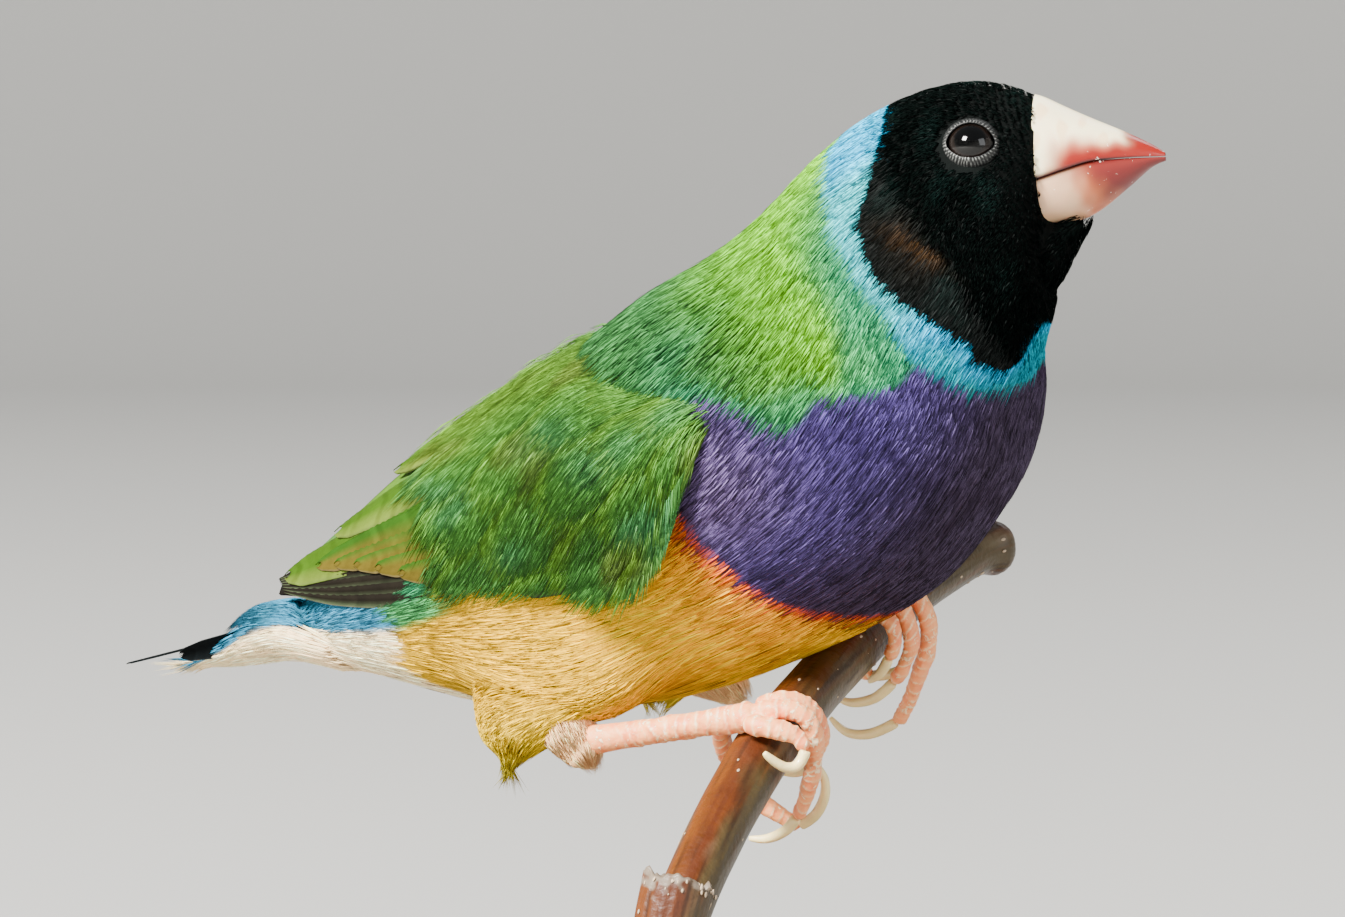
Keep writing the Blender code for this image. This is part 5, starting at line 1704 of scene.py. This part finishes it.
@dataclass
class Eyes:
    """The eyes with their rings of beaded lid."""

    half_width: float = 2.2
    half_height: float = 1.82
    outer: float = 3.3
    corner: float = 0.2
    rows: tuple = ((0.15, 0.08, 40, 0.16, 1.0), (0.36, 0.08, 46, 0.12, 0.4), (0.56, 0.08, 50, 0.08, 0.12))
    steps: int = 26
    turns: int = 300
    segments: int = 64
    pupil: float = 0.66
    iris: float = 0.95

    def frame(self, side: Side) -> tuple[Array, Array, Array, Array]:
        """An eye's centre, outward direction and the two directions across it."""
        centre, out = EYES.axis(side)
        forward = unit(np.cross(np.array([0.0, 0.0, 1.0]), out))
        return centre, out, forward, np.cross(out, forward)

    def ball(self, side: Side) -> bpy.types.Object:
        """The eye's ball with a dark brown iris round the pupil."""
        centre, out, forward, up = self.frame(side)
        polar = np.linspace(0.01, math.pi - 0.01, self.segments)
        around = np.linspace(0, math.tau, self.segments, endpoint=False)
        tilt, turn = np.meshgrid(polar, around, indexing="ij")
        bulge = 1 + 0.05 * np.exp(-((tilt / 0.8) ** 2))
        grid = centre + EYES.radius * bulge[..., None] * (
            out * np.cos(tilt)[..., None]
            + (forward * np.cos(turn)[..., None] + up * np.sin(turn)[..., None]) * np.sin(tilt)[..., None])
        ring = smooth(self.pupil - 0.05, self.pupil + 0.05, tilt.ravel()) * (
            1 - smooth(self.iris - 0.1, self.iris + 0.1, tilt.ravel()))
        shade = mix(srgb("010101"), srgb("110b08"), ring)
        return loft_piece("eyeball_" + side.label, grid, shade.reshape(grid.shape))

    def lids(self, side: Side) -> bpy.types.Object:
        """The bare lids as a ring with rows of small beads, drawn out at the corners.

        Args:
            side: The side of the head.

        Returns:
            The piece.
        """
        centre, out, forward, up = self.frame(side)
        turn = np.linspace(0, math.tau, self.turns + 1)
        share = np.linspace(0, 1, self.steps)
        angle, rho = np.meshgrid(turn, share, indexing="ij")
        cosine, sine = np.cos(angle), np.sin(angle)
        inner = 1 / np.sqrt((cosine / self.half_width) ** 2 + (sine / self.half_height) ** 2)
        inner = inner + self.corner * np.abs(cosine) ** 14
        reach = inner + (self.outer - inner) * rho
        ball = np.sqrt(np.clip((EYES.radius * 1.05) ** 2 - inner**2, 0, None)) + 0.1
        height = ball * (1 - smooth(0.0, 1.0, rho)) + 0.15
        tone = np.zeros_like(rho)
        ring = np.stack([cosine.ravel() * 4, sine.ravel() * 4, rho.ravel() * 0], -1)
        uneven = ripple(ring, 1.1, 62).reshape(rho.shape)
        for place, width, count, size, bright in self.rows:
            row = np.exp(-(((rho - place + 0.05 * uneven) / width) ** 2))
            bead = row * (0.5 + 0.5 * np.cos(angle * count + uneven * 1.6)) ** 3
            height += bead * size
            # painted light: the beads brighter towards the lower rear of the ring
            low = 0.5 + 0.5 * np.cos(angle + 2.2)
            tone += bead * bright * (0.3 + 0.7 * low) * (0.85 + 0.4 * uneven)
        height += 0.02 * ripple(np.stack([cosine.ravel() * 3, sine.ravel() * 3, rho.ravel() * 4], -1), 0.4,
                                61).reshape(rho.shape)
        spoke = forward * cosine[..., None] + up * sine[..., None]
        top = centre + out * height[..., None] + spoke * reach[..., None]
        grid = np.concatenate([top, (top - out * 0.5)[:, ::-1]], axis=1)
        shade = mix(srgb("0a0c0d"), srgb("a9aca8"), np.clip(tone.ravel(), 0, 1))
        shade = shade.reshape(*tone.shape, 3)
        shade = np.concatenate([shade, shade[:, ::-1]], axis=1)
        faces = grid_faces(*grid.shape[:2], True)
        return make_object("lids_" + side.label, grid.reshape(-1, 3), faces, shade.reshape(-1, 3))

    def build(self, shading: Shading) -> list[bpy.types.Object]:
        """Make both eyes."""
        made = []
        for side in Side:
            ball, lids = self.ball(side), self.lids(side)
            dress(ball, CORNEA.make(shading), "eye_dark", "eye_" + side.label)
            dress(lids, LID.make(shading), "mask_black")
            made += [ball, lids]
        return made


class Perch:
    """The cut perch with its stem, its bark and its pale pores."""

    points = [(15.3, -38.4, 17.0, 2.8), (14.7, -36.4, 22.6, 2.8), (14.2, -27.5, 30.0, 2.85),
              (14.1, -14.0, 38.2, 2.95), (14.5, -5.5, 42.5, 2.95), (14.6, 6.5, 46.9, 2.85),
              (15.3, 16.0, 50.4, 2.7), (16.5, 24.0, 53.7, 2.5), (19.2, 33.8, 57.1, 2.35),
              (20.5, 37.4, 57.9, 2.95), (21.3, 39.4, 58.2, 2.6)]
    stem = [(15.0, -39.0, 13.6, 3.2), (14.8, -38.8, 19.0, 3.3), (15.0, -38.2, 24.6, 3.4),
            (15.8, -37.4, 29.0, 3.4)]
    rim = [(15.5, -37.8, 26.9, 3.45), (15.7, -37.6, 28.0, 3.5), (15.8, -37.4, 29.0, 3.45)]
    hollow = ((1.0, 0.0), (0.93, 0.25), (0.84, -0.1), (0.66, -0.8), (0.35, -1.2), (0.02, -1.3))
    lit = srgb("603008")
    middle = srgb("47200a")
    dark = srgb("1e0e06")
    shaded = srgb("43371f")
    pale = srgb("7f7256")
    torn = srgb("75685a")
    pores = 170

    def frame_at(self, y: float) -> tuple[Array, Array, Array, Array]:
        """The axis point at that Y, with the forward, up and along directions."""
        rows = spline(np.array(self.points), np.linspace(0, len(self.points) - 1, 400))
        index = int(np.abs(rows[:, 1] - y).argmin())
        along = unit(rows[index + 1, :3] - rows[index - 1, :3])
        up = unit(np.array([0.0, 0.0, 1.0]) - along * along[2])
        return rows[index, :3], np.cross(along, up), up, along

    def bark(self, name: str, form: TubeForm, rings: int) -> bpy.types.Object:
        """Bark over a tube, with fine lengthwise ribs."""
        def relief(far: Array, turn: Array) -> Array:
            """Heights of the ribs over the tube."""
            where = np.stack([far.ravel() * 0.25, np.cos(np.radians(turn)).ravel() * 3,
                              np.sin(np.radians(turn)).ravel() * 3], -1)
            fine = ripple(where * np.array([1, 4, 4]), 1.3, 41) * 0.03
            return (fine + ripple(where, 2.6, 42) * 0.08).reshape(far.shape)

        grid, far, turn = form.skin(rings, 72, relief)
        return loft_piece(name, grid, self.bark_shade(grid, far))

    def stub(self, name: str, form: TubeForm) -> bpy.types.Object:
        """The thick old stem round the perch, torn off at a ragged pale rim.

        Args:
            name: The piece's name.
            form: The tube.

        Returns:
            The piece.
        """
        turn = np.linspace(-180, 180, 120, endpoint=False)
        around = np.stack([np.cos(np.radians(turn)), np.sin(np.radians(turn)), np.zeros(turn.size)], -1) * 3
        ragged = ripple(around, 1.6, 47) * 0.45 + ripple(around, 0.5, 48) * 0.25
        u = np.linspace(0, form.u_end, 80)
        centre, first, second, radius = form.axis(u)
        spoke = first[:, None] * around[None, :, :1] / 3 + second[:, None] * around[None, :, 1:2] / 3
        upward = np.repeat(u, turn.size)[:, None] * [0, 0, 1.2]
        ribs = ripple(np.concatenate([around * 3] * u.size) + upward, 1.4, 49)
        reach = radius[:, None] + ribs.reshape(u.size, turn.size) * 0.12
        outside = centre[:, None] + spoke * reach[..., None]
        outside[..., 2] += ragged * smooth(form.u_end - 0.5, form.u_end, u)[:, None]
        inside = [centre[-1] + spoke[-1] * (radius[-1] * share) + [0, 0, 1] * (ragged * share + drop)[:, None]
                  for share, drop in self.hollow[1:]]
        grid = np.concatenate([outside, np.stack(inside)])
        far = np.broadcast_to(np.linspace(0, 14, len(grid))[:, None], grid.shape[:2])
        shade = self.bark_shade(grid, far).reshape(-1, 3)
        below_rim = (form.rows[-1][2] - grid[..., 2] + ragged).ravel()
        below_rim = below_rim + ripple(grid.reshape(-1, 3), 1.0, 40) * 0.8
        in_hollow = np.repeat(np.arange(len(grid)) >= u.size, turn.size)
        pale = np.maximum(1 - smooth(-0.2, 0.6, below_rim), in_hollow)
        return loft_piece(name, grid, mix(shade, self.torn, pale).reshape(grid.shape))

    def bark_shade(self, grid: Array, far: Array) -> Array:
        """Bark colours over rings of points: lit on one side, streaked lengthwise."""
        outward = unit(grid - grid.mean(1, keepdims=True))
        left = -(outward[..., 0] * 0.93 + outward[..., 1] * 0.37).ravel()
        where = np.stack([far.ravel() * 0.3, outward[..., 0].ravel() * 3, outward[..., 2].ravel() * 3], -1)
        noise = ripple(where, 1.5, 43)
        shade = mix(self.middle, self.lit, smooth(0.0, 0.8, left + noise * 0.2))
        shade = mix(shade, self.shaded, smooth(0.1, 0.8, -left + noise * 0.25))
        shade = mix(shade, self.pale, smooth(0.75, 1.2, ripple(where, 2.2, 44)) * 0.35)
        streaks = np.stack([far.ravel() * 0.12, outward[..., 0].ravel() * 9, outward[..., 2].ravel() * 9], -1)
        shade = mix(shade, self.dark, smooth(0.15, 0.9, ripple(streaks, 1.3, 45)) * 0.75)
        return mix(shade, self.lit, smooth(0.3, 1.0, ripple(streaks, 1.1, 46)) * 0.35).reshape(grid.shape)

    def speckle(self, forms: list, draw: np.random.Generator) -> bpy.types.Object:
        """Raised pale pores over the bark.

        Args:
            forms: The tubes, each with its share of the pores.
            draw: The random draws.

        Returns:
            The piece.
        """
        bm = bmesh.new()
        for form, share in forms:
            count = int(self.pores * share)
            at = form.frames(draw.uniform(0.2, form.u_end * 0.88, count), draw.uniform(-180, 180, count))
            for point, normal, along in zip(at.point, at.normal, unit(at.by_u)):
                size = draw.uniform(0.08, 0.24)
                made = bmesh.ops.create_icosphere(bm, subdivisions=2, radius=size)
                across = np.cross(normal, along)
                for vert in made["verts"]:
                    x, y, z = vert.co
                    stretched = along * x * draw.uniform(1.3, 1.5)
                    vert.co = Vector(point + stretched + across * y * 0.8 + normal * z * 0.45)
        bm.transform(Matrix.Scale(MM, 4))
        mesh = bpy.data.meshes.new("bark_pores")
        bm.to_mesh(mesh)
        bm.free()
        mesh.shade_smooth()
        paint(mesh, np.tile(srgb("b09a80"), (len(mesh.vertices), 1)))
        piece = bpy.data.objects.new("bark_pores", mesh)
        bpy.context.scene.collection.objects.link(piece)
        return piece

    def build(self, shading: Shading) -> list[bpy.types.Object]:
        """Make the perch."""
        across = np.array([1.0, 0.0, 0.0])
        main, stem = TubeForm(self.points, across), TubeForm(self.stem, across)
        branch = self.bark("perch_bark", main, 200)
        dress(branch, BARK.make(shading), "bark_brown", "perch")
        cut = self.stub("stem_bark", stem)
        dress(cut, BARK.make(shading), "bark_brown")
        rim = TubeForm(self.rim, across)
        pores = self.speckle([(main, 0.8), (stem, 0.12), (rim, 0.25)], np.random.default_rng(SEED + 20))
        dress(pores, PALE_BARK.make(shading), "bark_brown")
        return [branch, cut, pores]


@dataclass
class Leg:
    """A bare leg and foot with rings of scales, and the cuff of pale feathers at the heel."""

    side: Side
    perch: Perch
    grip_y = {Side.RIGHT: -12.0, Side.LEFT: 14.5}
    heel = {Side.RIGHT: (-5.2, -12.0, 40.2), Side.LEFT: (-1.6, 17.0, 45.0)}
    tibia_top = {Side.RIGHT: (-9.0, -11.4, 44.0), Side.LEFT: (-6.6, 14.4, 48.0)}
    tarsus_radii = (1.55, 1.3, 1.25, 1.45)
    knuckle = {Side.RIGHT: (-0.4, 4.5, 0.0), Side.LEFT: (-0.6, 4.3, 0.0)}
    toes = {
        Side.RIGHT: (
            ((-1.2, 4.5, 0.4, 1.0), (-4.0, 2.9, 2.0, 1.0), (-5.4, 0.0, 3.2, 0.95), (-5.5, -2.5, 3.6, 0.9),
             (-4.4, -5.5, 3.8, 0.9), (-2.9, -8.2, 3.8, 0.95), (-0.9, -9.8, 3.8, 0.75)),
            ((-0.2, 4.5, 1.6, 0.95), (2.4, 4.5, 3.2, 0.9), (4.4, 2.4, 4.5, 0.85), (4.5, -0.8, 5.0, 0.8),
             (3.4, -3.1, 5.0, 0.65)),
            ((-0.2, 4.5, 0.2, 1.05), (2.2, 4.9, 0.8, 1.0), (4.6, 4.2, 1.3, 0.95), (5.6, 2.0, 1.5, 0.9),
             (4.9, -1.3, 1.5, 0.85), (3.7, -4.4, 1.5, 0.8), (2.6, -6.6, 1.5, 0.7)),
            ((-0.3, 4.4, -1.3, 1.0), (1.9, 4.4, -1.5, 1.0), (3.9, 3.7, -1.3, 0.95), (5.1, 2.9, -1.1, 0.75)),
        ),
        Side.LEFT: (
            ((-1.2, 4.2, -0.2, 0.95), (-3.5, 2.5, 0.0, 0.95), (-4.1, 0.0, 0.2, 0.9), (-3.1, -2.9, 0.2, 0.8),
             (-1.6, -4.0, 0.2, 0.65)),
            ((-0.2, 4.3, -1.4, 0.9), (2.6, 4.3, -2.6, 0.9), (4.8, 2.8, -3.2, 0.8), (5.0, 0.8, -3.4, 0.65)),
            ((-0.2, 4.5, 0.2, 1.0), (2.4, 4.9, 1.0, 1.0), (5.1, 4.1, 1.5, 0.95), (6.4, 1.8, 1.5, 0.9),
             (6.1, -1.4, 1.5, 0.85), (4.3, -5.1, 1.5, 0.8), (2.5, -8.4, 1.5, 0.7)),
            ((0.0, 4.4, -0.6, 0.9), (2.8, 4.7, -0.9, 0.9), (5.2, 3.3, -1.0, 0.85), (5.6, -0.1, -1.0, 0.8),
             (4.2, -2.9, -1.0, 0.65)),
        ),
    }
    pink = srgb("ffa466")
    pale = srgb("ffe6b8")
    deep = srgb("ee7644")
    cream = srgb("f6c48c")
    tip_radius: float = 0.74
    claw_roots = {
        Side.RIGHT: ((0.8, -10.4, 3.6), (2.4, -4.4, 5.0), (1.7, -8.0, 1.3), (5.9, 1.9, -1.7)),
        Side.LEFT: ((-0.1, -4.5, 0.2), (4.0, -0.9, -3.4), (1.0, -10.2, 1.5), (2.8, -4.6, -1.0)),
    }
    scale_height: float = 0.13
    voxel: float = 0.16
    cuff: Tuft = Tuft(8, 3.8, 0.5, 0.12, 0.3, 0.2, 8.0, 10.0, 0.05, 0.12, 0.35, 0.85, 0.0, 0.05)

    def place(self, row: tuple) -> tuple:
        """A way point given from the perch's axis, as a place with its radius."""
        origin, forward, up, along = self.perch.frame_at(self.grip_y[self.side])
        return (*(origin + forward * row[0] + up * row[1] + along * row[2]), *row[3:])

    def scaled(self, name: str, form: TubeForm, rings: int, pitch: float, plain: float) -> tuple:
        """A tube with rings of scales along its upper side and small grains below.

        Args:
            name: The piece's name.
            form: The tube.
            rings: Rings of points along it.
            pitch: Length of a scale.
            plain: How far from its start the scales stay low.

        Returns:
            The piece, its points and their colours.
        """
        def relief(far: Array, turn: Array) -> Array:
            """Heights of the scales over the tube."""
            where = np.stack([far.ravel(), turn.ravel() * 0.02, np.zeros(far.size)], -1)
            phase, strength = ring_phase(where, turn.ravel())
            step = np.clip(phase / 0.8, 0, 1) ** 1.5 - np.clip((phase - 0.8) / 0.2, 0, 1)
            lumps = ripple(where, 0.45, 51) * 0.4 + ripple(where, 1.6, 54) * 0.7
            return (self.scale_height * strength * (step + lumps)).reshape(far.shape)

        def ring_phase(where: Array, turn: Array) -> tuple[Array, Array]:
            """How far along its scale a place lies, and how strongly the scales show there."""
            wander = ripple(where, 2.2, 53) * 0.55 + 0.1 * np.cos(np.radians(turn * 2))
            patchy = smooth(-0.5, 0.6, ripple(where, 1.8, 55))
            along = 0.12 + 0.88 * smooth(plain - 2, plain + 2, where[:, 0])
            return (where[:, 0] / pitch + wander) % 1, along * (0.35 + 0.65 * patchy)

        grid, far, turn = form.skin(rings, 48, relief)
        where = np.stack([far.ravel(), turn.ravel() * 0.02, np.zeros(far.size)], -1)
        phase, strength = ring_phase(where, turn.ravel())
        noise = ripple(grid.reshape(-1, 3), 1.4, 52)
        edge = smooth(0.6, 0.78, phase) * (1 - smooth(0.8, 0.88, phase))
        shade = mix(self.pink, self.deep, smooth(0.0, 0.8, noise) * 0.6)
        shade = mix(shade, self.deep, (1 - smooth(0.0, 0.22, phase)) * 0.7 * strength)
        shade = mix(shade, self.pale, edge * strength * 0.9)
        return loft_piece(name, grid, shade.reshape(grid.shape)), grid.reshape(-1, 3), shade

    def foot(self) -> bpy.types.Object:
        """The tarsus and its four toes as one skin."""
        heel, knuckle = np.array(self.heel[self.side]), np.array(self.place(self.knuckle[self.side]))
        shares = (-0.12, 0.0, 0.3, 0.7, 1.0, 1.06)
        radii = (1.3, *self.tarsus_radii, 1.4)
        rows = [(*(heel + (knuckle - heel) * share), radius) for share, radius in zip(shares, radii)]
        tubes = [self.scaled("tarsus", TubeForm(rows, np.array([0.0, 1.0, 0.0])), 190, 1.1, 8.0)]
        along = self.perch.frame_at(self.grip_y[self.side])[3]
        for points, claw in zip(self.toes[self.side], self.claw_roots[self.side]):
            form = TubeForm([self.place(point) for point in (*points, (*claw, self.tip_radius))], along)
            tubes.append(self.scaled("toe", form, 150, 0.95, 0.0))
        return one_skin("foot_" + self.side.label, tubes, self.voxel, 1)

    def build(self, shading: Shading) -> list[bpy.types.Object]:
        """Make the leg's pieces."""
        foot = self.foot()
        dress(foot, LEG.make(shading), "leg_pink", "leg_" + self.side.label)
        draw = np.random.default_rng(SEED + 30 + self.side.value)
        heel, top = np.array(self.heel[self.side]), np.array(self.tibia_top[self.side])
        rows = [(*(top + (heel - top) * share), radius) for share, radius in
                ((0.2, 2.9), (0.6, 2.6), (0.95, 2.15), (1.3, 1.75))]
        form = CuffForm(rows, np.array([0.0, 1.0, 0.0]))
        coat = Coat("cuff_" + self.side.label)
        coat.grow(form, form.spread(420, (0.2, 2.8), (-180, 180), draw), self.cuff,
                  lambda u, v: mix(Hue.gold_pale, self.cream, smooth(0.2, 1.0, u)), draw)
        cuff = coat.build()
        dress(cuff, DOWN.make(shading), "belly_gold")
        return [foot, cuff]


def dress_kept_nodes(shading: Shading) -> None:
    """Give the solids that stay in view their finishes."""
    claw = CLAW.make(shading)
    for name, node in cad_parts.items():
        if name.startswith("claw_"):
            node.data.materials.clear()
            node.data.materials.append(claw)
            node.data.shade_smooth()
            weld = node.modifiers.new("weld", "WELD")
            weld.merge_threshold = 0.00002
            refine = node.modifiers.new("refine", "SUBSURF")
            refine.levels = refine.render_levels = 2
    for name, finish, slot in (("stand_base", TURNED_WOOD, "stand_wood"),
                               ("stand_rod", STEEL, "stand_steel")):
        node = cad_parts[name]
        node.data.materials.clear()
        node.data.materials.append(finish.make(shading))


@dataclass(frozen=True)
class Studio:
    """The plain pale floor, the soft lights and the camera of the photo's view."""

    target: tuple[float, float, float] = (0.0, 0.0, 0.068)
    distance: float = 0.9
    azimuth: float = 22.0
    elevation: float = 2.0
    sensor: float = 36.0
    frame_width: float = 0.1345
    floor_radius: float = 4.0
    wall_height: float = 2.2

    def towards(self, azimuth: float, elevation: float) -> Vector:
        """The direction from the target to a place at those angles."""
        a, e = math.radians(azimuth), math.radians(elevation)
        return Vector((math.sin(a) * math.cos(e), -math.cos(a) * math.cos(e), math.sin(e)))

    def camera(self) -> None:
        """Place the camera where the photo was taken from."""
        data = bpy.data.cameras.new("camera")
        data.sensor_width = self.sensor
        data.lens = self.sensor * self.distance / self.frame_width
        data.clip_start, data.clip_end = 0.01, 50
        made = bpy.data.objects.new("camera", data)
        back = self.towards(self.azimuth, self.elevation)
        made.location = Vector(self.target) + back * self.distance
        made.rotation_euler = back.to_track_quat("Z", "Y").to_euler()
        bpy.context.scene.collection.objects.link(made)
        bpy.context.scene.camera = made

    def light(self, name: str, azimuth: float, elevation: float, away: float, size: float, power: float,
              colour: tuple[float, float, float]) -> None:
        """One soft square light that faces the bird."""
        data = bpy.data.lights.new(name, "AREA")
        data.size, data.energy, data.color = size, power, colour
        made = bpy.data.objects.new(name, data)
        direction = self.towards(azimuth, elevation)
        made.location = Vector(self.target) + direction * away
        made.rotation_euler = direction.to_track_quat("Z", "Y").to_euler()
        made.visible_camera = False
        bpy.context.scene.collection.objects.link(made)

    def floor(self) -> None:
        """A round floor that curves up into a wall."""
        sweep = np.linspace(0, math.pi / 2, 12)
        bend = 1.2
        radii = np.concatenate([[0.001, 0.5, 1.5], self.floor_radius - bend + bend * np.sin(sweep),
                                [self.floor_radius]])
        heights = np.concatenate([[0, 0, 0], bend * (1 - np.cos(sweep)), [self.wall_height]]) - 0.00002
        around = np.linspace(0, math.tau, 96, endpoint=False)
        grid = np.stack([radii[:, None] * np.cos(around), radii[:, None] * np.sin(around),
                         heights[:, None] * np.ones_like(around)], -1) / MM
        faces = grid_faces(len(radii), len(around), True)
        made = make_object("floor", grid.reshape(-1, 3), faces)
        material = bpy.data.materials.new("floor")
        material.use_nodes = True
        shader = material.node_tree.nodes["Principled BSDF"]
        shader.inputs["Base Color"].default_value = (0.42, 0.42, 0.41, 1.0)
        shader.inputs["Roughness"].default_value = 0.9
        made.data.materials.append(material)
        made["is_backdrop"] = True

    def build(self) -> None:
        """Make the camera, the lights, the floor and the sky."""
        self.camera()
        self.floor()
        self.light("key", -20, 38, 3.0, 0.9, 520, (1.0, 0.97, 0.92))
        self.light("fill", 75, 20, 3.2, 1.6, 30, (0.94, 0.97, 1.0))
        self.light("rim", 170, 50, 3.0, 1.0, 15, (1.0, 1.0, 1.0))
        world = bpy.data.worlds.new("sky")
        world.use_nodes = True
        world.node_tree.nodes["Background"].inputs["Color"].default_value = (0.9, 0.95, 1.0, 1.0)
        world.node_tree.nodes["Background"].inputs["Strength"].default_value = 0.3
        bpy.context.scene.world = world


def write_sizes() -> None:
    """Bring the scene's placements up to date."""
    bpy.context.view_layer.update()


def main() -> None:
    """Build every part of the dressed bird in order."""
    logging.basicConfig(level=logging.INFO, format="%(message)s")
    shading = Shading()
    perch = Perch()
    Studio().build()
    Skin().build(shading)
    BodyCoat().build(shading)
    for side in Side:
        Wing(side).build(shading)
    TailDress().build(shading)
    Bill().build(shading)
    Eyes().build(shading)
    perch.build(shading)
    for side in Side:
        Leg(side, perch).build(shading)
    dress_kept_nodes(shading)
    total = sum(len(piece.data.polygons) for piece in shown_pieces() if piece.type == "MESH")
    LOG.info("whole model: %d faces", total)
    write_sizes()


if __name__ == "__main__":
    main()
